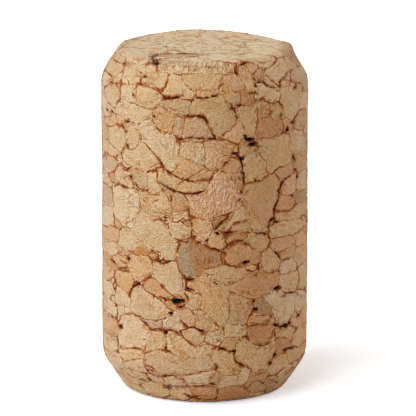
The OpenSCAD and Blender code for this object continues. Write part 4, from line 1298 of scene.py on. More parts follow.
@dataclass(frozen=True)
class Fade:
    """How a mark fades in: where its measure starts it and makes it full, and its most."""

    start: float
    full: float
    most: float = 1.0


@dataclass(frozen=True)
class AgglomeratedCork:
    """Cork granules pressed together with glue and ground to shape.

    The cut cells make it matt and dry, so it has only a dull, broad shine. The glue shows as
    brown lines between the granules. The open gaps between them are painted near black, a
    painted shade for the shadow down inside them.
    """

    name: str = "agglomerated_cork"
    glue: str = "#965420"
    crust: str = "#561f08"
    rim: str = "#7a3412"
    rust: str = "#9a441a"
    # Painted shade: the near-black fill of the open gaps and pits stands in for the shadow down inside them.
    gap: str = "#260800"
    stain: str = "#c07d3a"
    fleck: str = "#a05a2c"
    deep: Triple = (0.86, 0.73, 0.56)
    light: Triple = (1.07, 1.15, 1.27)
    warm: Triple = (1.04, 0.99, 0.92)
    cool: Triple = (0.97, 1.01, 1.08)
    drift_more: float = 1.8
    roughness: float = 0.78
    ior: float = 1.45
    shine: float = 0.12
    sheen: float = 0.46
    fuzz: float = 0.23
    fuzz_tint: str = "#fff1e2"
    bump_height: float = 0.18
    # How much clouds, cells, dust, streaks and wrinkles each shade the cork.
    shades: tuple[float, ...] = (0.85, 0.85, 1.6, 0.7, 0.5)
    # How much clouds, cells, dust, wrinkles and splits each raise it.
    heights: tuple[float, ...] = (0.8, 0.9, 0.6, 0.5, -0.4)
    drifts: Pattern = Pattern(3.4, 2.0)
    clouds: Pattern = Pattern(1.7, 3.0)
    # Real cork cells are 0.04 mm across: they are drawn at two sizes that show.
    cells: Pattern = Pattern(0.3, 1.0)
    dust: Pattern = Pattern(0.15, 0.0)
    specks: Pattern = Pattern(0.42, 2.0)
    speck_fade: Fade = Fade(0.12, 0.25)
    speck_least: float = 0.12
    speck_more: float = 0.5
    streaks: Pattern = Pattern(0.7, 2.0, (1.0, 4.0, 1.0))
    streak_least: float = 0.5
    streak_more: float = 1.8
    wrinkles: Pattern = Pattern(0.31, 1.0, (0.5, 1.0, 1.0), 0.6)
    wrinkle_fade: Fade = Fade(-0.15, 0.15)
    strokes: Pattern = Pattern(1.0, 4.0)
    stroke_fade: Fade = Fade(0.02, 0.14, 0.9)
    splinter_size: float = 1.3
    splinter_squeeze: Triple = (0.55, 1.0, 1.0)
    splinter_warp_size: float = 0.6
    splinter_warp: float = 0.5
    splinter_line: Fade = Fade(0.09, 0.0)
    split_spots: Pattern = Pattern(1.9, 2.0)
    split_fade: Fade = Fade(0.0, 0.22, 0.6)
    layers: Pattern = Pattern(2.6, 2.0, (1.0, 1.0, 2.2))
    layer_sway: float = 3.0
    layer_gap: float = 1.0
    layer_rough: float = 0.1
    layer_line: Fade = Fade(0.16, 0.02)
    layer_stain: Fade = Fade(0.0, 0.6, 0.4)
    layer_glue: Fade = Fade(0.3, 1.0, 0.75)
    bare_spots: Pattern = Pattern(2.6, 1.0)
    bare_base: float = 0.7
    bare_more: float = 3.2
    bare_fade: Fade = Fade(0.0, 0.4)
    sways: Pattern = Pattern(0.75, 1.0)
    clumps: Pattern = Pattern(0.9, 2.0)
    clump_more: float = 1.7
    line_wander: float = 0.1
    line_blunt: float = 0.1
    # How much cells, dust and sways each roughen the edge of a line.
    line_rough: Triple = (0.06, 0.06, 0.16)
    line_half: float = 0.01
    line_more: float = 0.17
    glue_fade: Fade = Fade(-0.035, 0.02, 0.95)
    crust_fade: Fade = Fade(0.045, 0.11, 0.9)
    # How much a seam's strength, clumps and the distance to it each make of its halo.
    halo: Triple = (0.5, 0.6, -0.9)
    halo_fade: Fade = Fade(0.0, 0.4, 0.52)
    rust_spots: Pattern = Pattern(0.55, 2.0)
    rust_spot: Fade = Fade(-0.05, 0.12, 0.8)
    rust_fade: Fade = Fade(-0.02, 0.1)
    gap_rust: Fade = Fade(-0.4, -0.1)
    gap_rough: tuple[float, float] = (0.2, 0.14)
    rim_fade: Fade = Fade(-0.04, 0.03)
    # Where the painted shade fills a gap.
    gap_painted_shade: Fade = Fade(0.05, 0.13)

    def material(self) -> Material:
        """Build the node material.

        Returns:
            The material, which reads the tone, marks, sides, habit, torn share and grain kept
            on the mesh.
        """
        material = bpy.data.materials.new(self.name)
        material.use_nodes = True
        tree = material.node_tree
        tree.nodes.clear()
        place = add_node(tree, "ShaderNodeTexCoord").outputs["Object"]
        tone = add_node(tree, "ShaderNodeAttribute", attribute_name="tone")
        grain = add_node(tree, "ShaderNodeAttribute", attribute_name="grain").outputs["Vector"]
        torn = add_node(tree, "ShaderNodeAttribute", attribute_name="torn").outputs["Fac"]
        marks, sides, habit = (self._kept(tree, name) for name in ("marks", "sides", "habit"))
        inner = sides[2]
        clouds = self._drawn(tree, place, self.clouds)
        cells = self._drawn(tree, place, self.cells)
        dust = self._drawn(tree, place, self.dust)
        streak_share = self._total(tree, self.streak_least, (habit[2], self.streak_more))
        streaks = self._total(tree, 0.0, (self._drawn(tree, grain, self.streaks), streak_share))
        streaks = self._total(tree, 0.0, (inner, streaks))
        wrinkles = self._faded(tree, self._drawn(tree, grain, self.wrinkles), self.wrinkle_fade)
        wrinkles = self._total(tree, 0.0, (self._total(tree, -0.5, (wrinkles, 1.0)), habit[0]))
        wrinkles = self._total(tree, 0.0, (inner, wrinkles))
        splits = self._splits(tree, grain, place, self._total(tree, 0.0, (inner, torn)))
        shade = self._total(tree, 0.5, *zip((clouds, cells, dust, streaks, wrinkles), self.shades))
        deep = add_node(tree, "ShaderNodeVectorMath", {0: tone, 1: self.deep}, operation="MULTIPLY")
        light = add_node(tree, "ShaderNodeVectorMath", {0: tone, 1: self.light}, operation="MULTIPLY")
        colour = self._painted(tree, deep, ((shade, light),))
        drift = self._total(tree, 0.5, (self._drawn(tree, place, self.drifts), self.drift_more))
        drift = self._painted(tree, (*self.warm, 1), ((drift, (*self.cool, 1)),))
        colour = add_node(tree, "ShaderNodeVectorMath", {0: colour, 1: drift}, operation="MULTIPLY")
        speck_share = self._total(tree, self.speck_least, (habit[1], self.speck_more))
        specks = self._faded(tree, self._drawn(tree, place, self.specks), self.speck_fade, speck_share)
        strokes = self._faded(tree, self._drawn(tree, place, self.strokes), self.stroke_fade, sides[1])
        coats = ((specks, self.fleck), (splits, self.glue), (strokes, self.stain))
        coats += self._seams(tree, place, (*marks, sides[0], torn), cells, dust)
        colour = self._painted(tree, colour, tuple((share, (*linear(paint), 1)) for share, paint in coats))
        height = self._total(tree, 0.5, *zip((clouds, cells, dust, wrinkles, splits), self.heights))
        bump = add_node(tree, "ShaderNodeBump", {"Height": height, "Distance": self.bump_height * MM})
        shader = add_node(tree, "ShaderNodeBsdfPrincipled", {
            "Base Color": colour,
            "Roughness": self.roughness,
            "IOR": self.ior,
            "Specular IOR Level": self.shine,
            "Sheen Weight": self.sheen,
            "Sheen Roughness": self.fuzz,
            "Sheen Tint": (*linear(self.fuzz_tint), 1),
            "Normal": bump,
        })
        add_node(tree, "ShaderNodeOutputMaterial", {"Surface": shader})
        return material

    def _kept(self, tree: NodeTree, name: str) -> tuple[NodeSocket, ...]:
        """Return the three numbers that the mesh keeps under a name."""
        kept = add_node(tree, "ShaderNodeAttribute", attribute_name=name).outputs["Vector"]
        return tuple(add_node(tree, "ShaderNodeSeparateXYZ", {"Vector": kept}).outputs)

    def _drawn(self, tree: NodeTree, place: Source, pattern: Pattern) -> Node:
        """Draw a pattern at its real size.

        Args:
            tree: The material's tree.
            place: Where the shaded point is.
            pattern: The pattern.

        Returns:
            Its value, from about -0.5 to 0.5.
        """
        squeezed = add_node(tree, "ShaderNodeVectorMath", {0: place, 1: pattern.squeeze},
                            operation="MULTIPLY")
        texture = add_node(tree, "ShaderNodeTexNoise", {
            "Vector": squeezed,
            "Scale": per_metre(pattern.size),
            "Detail": pattern.detail,
            "Distortion": pattern.swirl,
        })
        return add_node(tree, "ShaderNodeMath", {0: texture, 1: 0.5}, operation="SUBTRACT")

    def _faded(self, tree: NodeTree, measure: Source, fade: Fade, share: Source = 1.0) -> Node:
        """Let a mark fade in with a measure.

        Args:
            tree: The material's tree.
            measure: What it fades with.
            fade: Where it starts and is full, and its most.
            share: How much of that most there is.

        Returns:
            How much of the mark there is.
        """
        most = add_node(tree, "ShaderNodeMath", {0: share, 1: fade.most}, operation="MULTIPLY")
        limits = {"Value": measure, "From Min": fade.start, "From Max": fade.full, "To Max": most}
        return add_node(tree, "ShaderNodeMapRange", limits, interpolation_type="SMOOTHSTEP")

    def _total(self, tree: NodeTree, start: Source, *parts: tuple[Source, Source]) -> Source:
        """Add parts to a starting value.

        Args:
            tree: The material's tree.
            start: The starting value.
            *parts: Each part and its weight.

        Returns:
            The total.
        """
        for part, weight in parts:
            start = add_node(tree, "ShaderNodeMath", {0: part, 1: weight, 2: start}, operation="MULTIPLY_ADD")
        return start

    def _painted(self, tree: NodeTree, colour: Paint,
                 coats: tuple[tuple[Source, Paint], ...]) -> NodeSocket:
        """Lay coats of paint over a colour.

        Args:
            tree: The material's tree.
            colour: The colour under them.
            coats: How much each coat covers and its colour, in the order that they go on.

        Returns:
            The colour that shows.
        """
        for share, paint in coats:
            mix = add_node(tree, "ShaderNodeMix", {0: share, 6: colour, 7: paint}, data_type="RGBA")
            colour = mix.outputs[2]
        return colour

    def _seams(self, tree: NodeTree, place: NodeSocket, kept: tuple[NodeSocket, ...], cells: Node,
               dust: Node) -> tuple[tuple[Node, str], ...]:
        """Work out where glue, its stain and the open gaps show; the gaps' near black is painted shade.

        Args:
            tree: The material's tree.
            place: Where the shaded point is.
            kept: The distance to the seam, the seam's strength, the way into a gap, the distance
                to the seam with a sign for its two sides, which keeps a line thin where the mesh
                is coarser than it, and how torn the granule is.
            cells: The cell pattern, which makes every edge ragged.
            dust: The dust pattern, which makes them more so.

        Returns:
            Each share of paint with its colour, in the order that they go on.
        """
        away, strength, openness, side, torn = kept
        wander = self._total(tree, side, (cells, self.line_wander), (dust, self.line_wander))
        thin = add_node(tree, "ShaderNodeMath", {0: wander}, operation="ABSOLUTE")
        blunt = self._total(tree, -self.line_blunt, (away, 1.0))
        near = add_node(tree, "ShaderNodeMath", {0: thin, 1: blunt}, operation="MAXIMUM")
        sways = self._drawn(tree, place, self.sways)
        edge = self._total(tree, near, *zip((cells, dust, sways), self.line_rough))
        clumps = self._drawn(tree, place, self.clumps)
        clumped = self._total(tree, 0.0, (strength, clumps))
        strength = self._total(tree, strength, (clumped, self.clump_more))
        inside = self._total(tree, -self.line_half, (strength, self.line_more), (edge, -1.0))
        halo = self._total(tree, 0.0, *zip((strength, clumps, edge), self.halo))
        gap = self._total(tree, openness, *zip((cells, dust), self.gap_rough))
        rust = self._faded(tree, self._drawn(tree, place, self.rust_spots), self.rust_spot)
        layers = self._layers(tree, place, away, edge, torn, dust)
        return (
            (self._faded(tree, halo, self.halo_fade), self.stain),
            (self._faded(tree, layers, self.layer_stain), self.stain),
            (self._faded(tree, layers, self.layer_glue), self.glue),
            (self._faded(tree, inside, self.glue_fade), self.glue),
            (self._faded(tree, inside, self.crust_fade), self.crust),
            (self._faded(tree, inside, self.rust_fade, rust), self.rust),
            (self._faded(tree, gap, self.gap_rust, rust), self.rust),
            (self._faded(tree, gap, self.rim_fade), self.rim),
            # The near black in the open gaps is painted shade.
            (self._faded(tree, gap, self.gap_painted_shade), self.gap),
        )

    def _layers(self, tree: NodeTree, place: NodeSocket, away: NodeSocket, edge: Source, torn: NodeSocket,
                dust: Node) -> Node:
        """Draw the thin lines of torn layers, which run beside the seams and wander off them.

        Args:
            tree: The material's tree.
            place: Where the shaded point is.
            away: The distance to the seam.
            edge: The same with a ragged edge.
            torn: How torn the granule is.
            dust: The dust pattern.

        Returns:
            How much of a line there is.
        """
        flow = self._drawn(tree, place, self.layers)
        weights = (self.layer_sway, 1 / self.layer_gap, self.layer_rough)
        level = self._total(tree, 0.5, *zip((flow, away, dust), weights))
        phase = add_node(tree, "ShaderNodeMath", {0: level, 1: 0.5}, operation="PINGPONG")
        spots = self._drawn(tree, place, self.bare_spots)
        bare = self._total(tree, self.bare_base, (spots, self.bare_more), (edge, -1.0))
        return self._faded(tree, phase, self.layer_line, self._faded(tree, bare, self.bare_fade, torn))

    def _splits(self, tree: NodeTree, grain: NodeSocket, place: NodeSocket, share: Source) -> Node:
        """Draw the thin lines where a granule is itself a bundle of splinters.

        Args:
            tree: The material's tree.
            grain: The place along and across the granule's grain.
            place: Where the shaded point is.
            share: How much the granule shows them.

        Returns:
            How much of a line there is.
        """
        warp = add_node(tree, "ShaderNodeTexNoise", {
            "Vector": place,
            "Scale": per_metre(self.splinter_warp_size),
            "Detail": 1.0,
        }).outputs["Color"]
        reach = (self.splinter_warp * MM,) * 3
        moved = {0: warp, 1: reach, 2: grain}
        drift = add_node(tree, "ShaderNodeVectorMath", moved, operation="MULTIPLY_ADD")
        squeezed = add_node(tree, "ShaderNodeVectorMath", {0: drift, 1: self.splinter_squeeze},
                            operation="MULTIPLY")
        texture = add_node(tree, "ShaderNodeTexVoronoi", {
            "Vector": squeezed,
            "Scale": per_metre(self.splinter_size),
        }, feature="DISTANCE_TO_EDGE")
        spots = self._faded(tree, self._drawn(tree, place, self.split_spots), self.split_fade, share)
        return self._faded(tree, texture.outputs["Distance"], self.splinter_line, spots)


@dataclass
class CorkPlug:
    """The stopper itself: its worn skin of granules, built over the ground form."""

    form: PlugForm
    finish: AgglomeratedCork = field(default_factory=AgglomeratedCork)
    seed: int = 3
    passes: int = 5
    finest: float = 0.2
    coarsest: float = 0.7
    growth: float = 1.0
    faint_reach: float = 0.3
    back_share: float = 2.5
    back_turn: tuple[float, float] = (-0.1, 0.25)
    end_share: float = 1.25
    base_share: float = 3.25
    laid_strength: Triple = (0.18, 0.5, 2.0)
    packed_strength: Triple = (0.08, 0.75, 1.7)
    strength_wave: float = 0.8
    strength_size: float = 1.3
    seam_width: float = 0.13
    seam_depth: float = 0.055
    pillow_width: float = 0.4
    pillow: float = 0.03
    lip: float = 0.03
    lip_away: float = 0.3
    lip_width: float = 0.12
    # Painted highlight: the lips beside the seams are painted lighter, for where their raised edges catch the
    # light.
    lip_painted_highlight: float = 0.16
    level_step: float = 0.035
    level_reach: float = 0.3
    wave: float = 0.05
    wave_size: float = 6.0
    open_share: float = 0.1
    open_width: float = 0.24
    open_wave: float = 0.8
    open_size: float = 1.0
    open_depth: float = 0.6
    open_wall: float = 0.12
    hole_share: float = 0.35
    laid_hole_share: float = 0.2
    hole_size: float = 0.16
    hole_wave: float = 0.6
    hole_wave_size: float = 0.5
    hole_depth: float = 0.5
    whole_front: float = 0.4
    front_turn: tuple[float, float] = (0.1, 0.4)
    knot: float = 0.7
    knot_size: float = 0.5
    rim_step: tuple[float, float] = (0.6, 1.4)
    tone_spread: float = 0.06
    laid_spread: float = 0.02
    end_even: float = 0.88
    # Painted sheen: the end faces are painted paler, for the whitish look of the flat ends at a grazing view.
    end_painted_sheen: Triple = (0.07, 0.22, 0.28)
    end_calm: float = 0.75
    laid_torn: float = 0.7
    inner_edge: tuple[float, float] = (0.1, 0.25)
    grain_apart: float = 3.7
    # Painted shade and warm bounce light: towards the base the cork is painted warmer and darker.
    base_painted_bounce_shade: Triple = (0.06, -0.07, -0.25)
    base_reach: float = 2.8
    # Painted shade: darker still at the very bottom, where the stopper meets the paper.
    foot_painted_shade: Triple = (-0.4, -0.5, -0.55)
    foot_reach: float = 0.7
    lay: GranuleLay = field(init=False)
    lines: GlueLines = field(init=False)
    breaks: Breaks = field(init=False)

    def __post_init__(self) -> None:
        """Lay out the granules, the glue lines and the breaks."""
        self.lay = GranuleLay(self.form)
        self.lines = GlueLines(self.form)
        self.breaks = Breaks(self.form)

    def build(self) -> Object:
        """Build the plug's mesh and dress it.

        Returns:
            The dressed object.
        """
        skin = SkinMesh(self.form)
        reading = self._read(skin.way, skin.run)
        for _ in range(self.passes):
            count = len(skin.run)
            added = skin.refine(self._wanted(skin, reading))
            if not added:
                break
            reading = reading.joined(self._read(skin.way[count:], skin.run[count:]))
        LOG.info("granules: %d laid, %d packed", len(self.lay.plots), len(self.lay.sizes))
        return self._made(skin, reading)

    def _read(self, way: Array, run: Array) -> Reading:
        """Read the granules, the glue lines and the breaks.

        Args:
            way: The points' direction round the axis.
            run: Their run.

        Returns:
            What the skin is there.
        """
        reading = self.lay.read(way, run)
        self.lines.draw(way, run, reading)
        self.breaks.mark(way, run, reading)
        return reading

    def _wanted(self, skin: SkinMesh, reading: Reading) -> Array:
        """Choose how fine the mesh has to be.

        Args:
            skin: The mesh so far.
            reading: What the skin is at its points.

        Returns:
            The longest edge wanted at each point, short near seams and breaks.
        """
        faint = np.clip(1 - 2 * self._strength(reading)[0], 0, 1)
        near = np.minimum(reading.edge + self.faint_reach * faint, np.maximum(-reading.openness, 0))
        size = np.clip(self.finest + self.growth * (near - self.finest), self.finest, self.coarsest)
        back = smooth(skin.way[:, 1], *self.back_turn)
        radius, height = self.form.ring(skin.run)
        ends = radius < self.form.radius - self.form.base_bevel_in
        base = ends & (height < self.form.length / 2)
        side_share = 1 + (self.back_share - 1) * back
        return size * np.where(base, self.base_share, np.where(ends, self.end_share, side_share))

    def _strength(self, reading: Reading) -> tuple[Array, Array]:
        """Choose how strong each seam is, and which stand open.

        Args:
            reading: What the skin is at each point.

        Returns:
            The strength from 0 to 1, and whether the seam there stands open.
        """
        low, high = np.minimum(reading.owner, reading.other), np.maximum(reading.owner, reading.other)
        chance = scatter(low, high, self.seed)
        laid = high < len(self.lay.plots)
        kinds = (self.laid_strength, self.packed_strength)
        strength = np.where(laid, *(least + more * chance**power for least, more, power in kinds))
        strength = np.where(reading.laid >= 0, reading.laid, strength)
        return strength, ~laid & (chance > 1 - self.open_share)

    def _shown_strength(self, flat: Array, strength: Array, top: Array, reading: Reading) -> Array:
        """Let seams come and go, calm them on the end faces and thicken them where three meet.

        Args:
            flat: The points on the ground form.
            strength: How strong the seam is at each.
            top: How far each is on an end face, from 0 to 1.
            reading: What the skin is there.

        Returns:
            How strongly each seam shows, from 0 to 1.
        """
        packed = reading.laid < 0
        wave = noise(flat, self.strength_size, self.seed + 1)
        strength = np.clip(strength * (1 + self.strength_wave * wave), 0, 1)
        strength = np.where(packed, strength * (1 - self.end_calm * top), strength)
        knot = self._corner_chance(reading, 30) ** 2 * bell(reading.corner, self.knot_size)
        return np.clip(strength + self.knot * knot * (1 - top) * packed, 0, 1)

    def _corner_chance(self, reading: Reading, key: int) -> Array:
        """Return a value from 0 to 1 for the corner where three granules meet, the same all round it."""
        trio = np.sort(np.stack([reading.owner, reading.other, reading.third]), axis=0)
        return scatter(*trio, self.seed + key)

    def _open_up(self, flat: Array, way: Array, top: Array, stands_open: Array, reading: Reading) -> None:
        """Open seams and corners off the front by chance.

        Args:
            flat: The points on the ground form.
            way: Their direction round the axis.
            top: How far each is on an end face, from 0 to 1.
            stands_open: Which seams stand open.
            reading: What the skin is there, changed in place.
        """
        width = self.open_width * (1 + self.open_wave * noise(flat, self.open_size, self.seed + 2))
        crack = np.where(stands_open, width / 2 - reading.edge, -1.0)
        chance = self._corner_chance(reading, 21)
        last = np.maximum(np.maximum(reading.owner, reading.other), reading.third)
        share = np.where(last < len(self.lay.plots), self.laid_hole_share, self.hole_share)
        size = np.where(chance < share, self.hole_size * (0.5 + chance / share), -1.0)
        wave = noise(flat, self.hole_wave_size, self.seed + 20)
        hole = size * (1 + self.hole_wave * wave) - reading.corner
        quiet = self.whole_front * np.maximum(top, smooth(-way[:, 1], *self.front_turn))
        for inside, deepest in ((crack - quiet, self.open_depth), (hole - quiet, self.hole_depth)):
            reading.openness = np.maximum(reading.openness, inside)
            reading.depth = np.maximum(reading.depth, deepest * smooth(inside, 0.0, self.open_wall))

    def _made(self, skin: SkinMesh, reading: Reading) -> Object:
        """Raise and sink the skin, turn it into a mesh and give it its marks.

        Args:
            skin: The finished skin.
            reading: What it is at each point.

        Returns:
            The dressed object.
        """
        flat = self.form.points(skin.way, skin.run)
        top = self._end_face(skin.run)
        strength, stands_open = self._strength(reading)
        strength = self._shown_strength(flat, strength, top, reading)
        self._open_up(flat, skin.way, top, stands_open, reading)
        lip = strength * bell(reading.edge - self.lip_away, self.lip_width)
        level = (scatter(reading.owner, self.seed + 3) - 0.5) * 2 * self.level_step
        rise = level * smooth(reading.edge, 0.0, self.level_reach)
        rise -= self.seam_depth * strength * bell(reading.edge, self.seam_width)
        rise -= self.pillow * bell(reading.edge, self.pillow_width)
        rise += self.lip * lip
        rise += self.wave * noise(flat, self.wave_size, self.seed + 4)
        rise += self._bulges(skin.way, skin.run)
        points = self.form.points(skin.way, skin.run, rise - reading.depth)
        points[:, 2] = np.maximum(points[:, 2], 0.0)
        mesh = bpy.data.meshes.new("cork_plug")
        mesh.from_pydata((points * MM).tolist(), [], skin.faces.tolist())
        mesh.validate()
        mesh.shade_smooth()
        tones, habits, grain = self._granule_looks(flat, reading)
        tones = self._tinted(tones, flat, top, lip, reading)
        inner = smooth(reading.border, *self.inner_edge) * (1 - top)
        torn = np.where(reading.owner < len(self.lay.plots), self.laid_torn, 1.0)
        self._keep(mesh, "tone", np.column_stack([tones, np.ones(len(tones))]), "FLOAT_COLOR", "color")
        self._keep(mesh, "marks", np.stack([reading.edge, strength, reading.openness], axis=1))
        self._keep(mesh, "sides", np.stack([reading.side, top, inner], axis=1))
        self._keep(mesh, "habit", habits)
        self._keep(mesh, "torn", torn, "FLOAT", "value")
        self._keep(mesh, "grain", grain * MM)
        mesh.materials.append(self.finish.material())
        plug = bpy.data.objects.new("cork_plug", mesh)
        bpy.context.scene.collection.objects.link(plug)
        LOG.info("cork_plug: %d triangles", len(skin.faces))
        return plug

    def _bulges(self, way: Array, run: Array) -> Array:
        """Work out how far the bulges and hollows lift the skin.

        Args:
            way: The points' direction round the axis.
            run: Their run.

        Returns:
            The lift at each point.
        """
        turn = np.arctan2(way[:, 0], -way[:, 1])
        radius = self.form.ring(run)[0]
        rise = np.zeros(len(run))
        for bulge in BULGES:
            away = (turn - math.radians(bulge.angle) + math.pi) % math.tau - math.pi
            rise += bulge.rise * bell(away * radius, bulge.across) * bell(run - bulge.run, bulge.down)
        return rise

    def _end_face(self, run: Array) -> Array:
        """Return 1 on the flat ends and 0 on the side, with a soft step over the rim."""
        rim = self.form.radius - self.form.top_bevel_in
        return smooth(rim - self.form.ring(run)[0], *self.rim_step)

    def _tinted(self, tones: Array, flat: Array, top: Array, lip: Array, reading: Reading) -> Array:
        """Lighten the lips as a painted highlight, even and pale the ends, the paleness as painted sheen, and
        warm and darken the foot as painted shade and bounce light.

        Args:
            tones: Each point's own colour.
            flat: The points on the ground form.
            top: How far each is on an end face, from 0 to 1.
            lip: How much of a lip there is.
            reading: What the skin is there.

        Returns:
            The colours that show.
        """
        # Painted highlight: the lips are painted lighter.
        tones = tones * (1 + self.lip_painted_highlight * lip)[:, None]
        even = np.array(linear(Tone.PALE.value))
        packed = reading.owner >= len(self.lay.plots)
        tones += self.end_even * top[:, None] * (even - tones) * packed[:, None]
        # Painted sheen: the ends are painted paler.
        tones = tones * (1 + top[:, None] * self.end_painted_sheen)
        # Painted shade at the foot: warmer and darker towards the base, darkest where it meets the paper.
        for tint, reach in ((self.base_painted_bounce_shade, self.base_reach), (self.foot_painted_shade, self.foot_reach)):
            tones = tones * (1 + smooth(reach - flat[:, 2], 0.0, reach)[:, None] * tint)
        return tones

    def _granule_looks(self, flat: Array, reading: Reading) -> tuple[Array, Array, Array]:
        """Choose each granule's looks.

        Args:
            flat: The points on the ground form.
            reading: What the skin is there.

        Returns:
            Each point's tone, habit and place along its granule's grain.
        """
        common = [tone for tone, share in TONE_SHARES for _ in range(share)]
        laid = FRONT_GRANULES + TOP_GRANULES
        packed = np.arange(len(self.lay.sizes))
        kinds = [granule.tone for granule in laid]
        kinds += [common[int(pick * len(common))] for pick in scatter(packed, self.seed + 5)]
        habits = [granule.habit for granule in laid]
        habits += [list(Habit)[int(pick * len(Habit))] for pick in scatter(packed, self.seed + 6)]
        table = np.array([linear(kind.value) for kind in kinds])
        numbers = np.arange(len(table))
        spread = np.where(numbers < len(laid), self.laid_spread, self.tone_spread)
        for axis in range(3):
            table[:, axis] *= 1 + spread * (scatter(numbers, self.seed + 7 + axis) - 0.5)
        table *= 1 + 2 * (spread * (scatter(numbers, self.seed + 11) - 0.5))[:, None]
        angle = (scatter(numbers, self.seed + 12) - 0.5) * math.pi
        for number, granule in enumerate(laid):
            if granule.lean is not None:
                angle[number] = math.radians(granule.lean)
        turn = self.form.radius * np.arctan2(flat[:, 0], -flat[:, 1])
        lean = angle[reading.owner]
        along = turn * np.cos(lean) + flat[:, 2] * np.sin(lean)
        across = flat[:, 2] * np.cos(lean) - turn * np.sin(lean)
        grain = np.stack([along, across, reading.owner * self.grain_apart], axis=1)
        return table[reading.owner], np.array([habit.value for habit in habits])[reading.owner], grain

    @staticmethod
    def _keep(mesh: Mesh, name: str, values: Array, kind: str = "FLOAT_VECTOR",
              part: str = "vector") -> None:
        """Keep a value for each point on the mesh."""
        layer = mesh.attributes.new(name, kind, "POINT")
        layer.data.foreach_set(part, np.ascontiguousarray(values, dtype=np.float32).ravel())


@dataclass(frozen=True)
class StudioPaper:
    """Matt white paper under and behind the stopper, which the camera sees as plain white, with a painted
    shadow round the stopper's foot.
    """

    name: str = "studio_paper"
    white: str = "#e9e8e6"
    lift: float = 0.52
    # Painted shadow: camera rays get less lift near the stopper, so the paper shows darker round its foot.
    painted_shadow_lift: float = 0.41
    near: float = 12.5
    far: float = 22.0
    roughness: float = 0.9

    def material(self) -> Material:
        """Build the paper, which takes the shadow.

        Returns:
            The material. Camera rays see it brighter, the more so away from the stopper, so it is painted
            darker round the stopper as a painted shadow.
        """
        material = bpy.data.materials.new(self.name)
        material.use_nodes = True
        tree = material.node_tree
        tree.nodes.clear()
        seen = add_node(tree, "ShaderNodeLightPath").outputs["Is Camera Ray"]
        place = add_node(tree, "ShaderNodeTexCoord").outputs["Object"]
        away = add_node(tree, "ShaderNodeVectorMath", {0: place}, operation="LENGTH").outputs["Value"]
        lift = add_node(tree, "ShaderNodeMapRange", {
            "Value": away,
            "From Min": self.near * MM,
            "From Max": self.far * MM,
            "To Min": self.painted_shadow_lift,
            "To Max": self.lift,
        })
        shader = add_node(tree, "ShaderNodeBsdfPrincipled", {
            "Base Color": (*linear(self.white), 1),
            "Roughness": self.roughness,
            "Specular IOR Level": 0.0,
            "Emission Color": (1, 1, 1, 1),
            "Emission Strength": add_node(tree, "ShaderNodeMath", {0: seen, 1: lift}, operation="MULTIPLY"),
        })
        add_node(tree, "ShaderNodeOutputMaterial", {"Surface": shader})
        return material


@dataclass(frozen=True)
class Lamp:
    """A soft box, placed by its turn from the front, its elevation and its distance."""

    name: str
    turn: float
    elevation: float
    distance: float
    size: float
    level: float
    tint: Triple = (1.0, 1.0, 1.0)

    def light(self, aim: Triple) -> Object:
        """Hang the lamp so that it faces a point.

        Args:
            aim: The point, in millimetres.

        Returns:
            The lamp.
        """
        turn, rise = math.radians(self.turn), math.radians(self.elevation)
        way = Vector((math.sin(turn) * math.cos(rise), -math.cos(turn) * math.cos(rise), math.sin(rise)))
        data = bpy.data.lights.new(self.name, "AREA")
        data.shape = "DISK"
        data.size = self.size * MM
        data.color = self.tint
        # A white surface that faces a far, small lamp renders at the lamp's level.
        data.energy = self.level * math.pi**2 * (self.distance * MM) ** 2
        lamp = bpy.data.objects.new(self.name, data)
        lamp.location = Vector(aim) * MM + way * self.distance * MM
        lamp.rotation_euler = way.to_track_quat("Z", "Y").to_euler()
        bpy.context.scene.collection.objects.link(lamp)
        return lamp


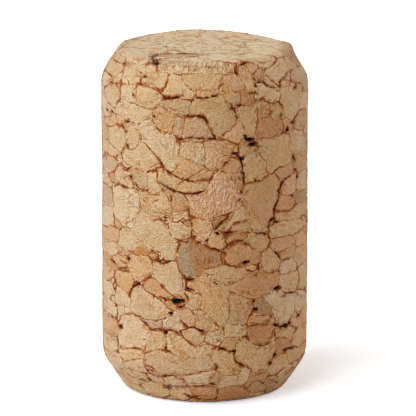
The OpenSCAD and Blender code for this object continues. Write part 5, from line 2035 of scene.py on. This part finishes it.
@dataclass
class Studio:
    """The table top, the soft lamps, the white surround and the camera."""

    aim: Triple
    paper: StudioPaper = field(default_factory=StudioPaper)
    floor_size: float = 6000.0
    surround: float = 0.17
    lamps: tuple[Lamp, ...] = (
        Lamp("key_softbox", -54, 41, 2400, 3000, 1.53, (0.925, 1.05, 1.17)),
        Lamp("top_softbox", -20, 84, 2400, 1700, 0.05),
        Lamp("fill_softbox", 118, 20, 2400, 1700, 0.6, (1.02, 0.94, 0.9)),
    )
    camera_elevation: float = 13.7
    camera_distance: float = 530.7
    lens: float = 363.2
    sensor: float = 36.0
    shift: tuple[float, float] = (0.00788, 0.0165)

    def build(self) -> None:
        """Build the floor, the lamps, the surround and the camera."""
        self._floor()
        for lamp in self.lamps:
            lamp.light(self.aim)
        self._surround()
        self._camera()

    def _floor(self) -> None:
        """Lay the paper."""
        half = self.floor_size / 2 * MM
        corners = [(-half, -half, 0), (half, -half, 0), (half, half, 0), (-half, half, 0)]
        mesh = bpy.data.meshes.new("table_top")
        mesh.from_pydata(corners, [], [(0, 1, 2, 3)])
        mesh.materials.append(self.paper.material())
        floor = bpy.data.objects.new("table_top", mesh)
        bpy.context.scene.collection.objects.link(floor)

    def _surround(self) -> None:
        """Make the world a dim white to the light and full white to the eye and in reflections."""
        world = bpy.data.worlds.new("white_surround")
        world.use_nodes = True
        tree = world.node_tree
        tree.nodes.clear()
        path = add_node(tree, "ShaderNodeLightPath")
        seen = path.outputs["Is Camera Ray"]
        for name in ("Is Glossy Ray", "Is Transmission Ray"):
            seen = add_node(tree, "ShaderNodeMath", {0: seen, 1: path.outputs[name]}, operation="MAXIMUM")
        strength = add_node(tree, "ShaderNodeMapRange", {"Value": seen, "To Min": self.surround})
        shader = add_node(tree, "ShaderNodeBackground", {"Color": (1, 1, 1, 1), "Strength": strength})
        add_node(tree, "ShaderNodeOutputWorld", {"Surface": shader})
        bpy.context.scene.world = world

    def _camera(self) -> None:
        """Set up a long lens from a little above."""
        data = bpy.data.cameras.new("camera")
        data.lens = self.lens
        data.sensor_width = self.sensor
        data.shift_x, data.shift_y = self.shift
        data.clip_start = 10 * MM
        camera = bpy.data.objects.new("camera", data)
        rise = math.radians(self.camera_elevation)
        way = Vector((0, -math.cos(rise), math.sin(rise)))
        camera.location = Vector(self.aim) * MM + way * self.camera_distance * MM
        camera.rotation_euler = way.to_track_quat("Z", "Y").to_euler()
        bpy.context.scene.collection.objects.link(camera)
        bpy.context.scene.camera = camera


def main() -> None:
    """Build the stopper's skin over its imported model, and the studio round it."""
    logging.basicConfig(level=logging.INFO, format="%(name)s: %(message)s")
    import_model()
    low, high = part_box("stopper")
    form = PlugForm(radius=(high[0] - low[0]) / 2 / MM, length=(high[2] - low[2]) / MM)
    plug = CorkPlug(form).build()
    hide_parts("stopper")
    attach(plug, "root")
    LOG.info("cork_plug: replaces stopper")
    Studio(aim=(0, 0, form.length / 2)).build()
    LOG.info("studio: floor, lamps, surround and camera")
    bpy.context.scene.view_settings.view_transform = "Standard"


if __name__ == "__main__":
    main()
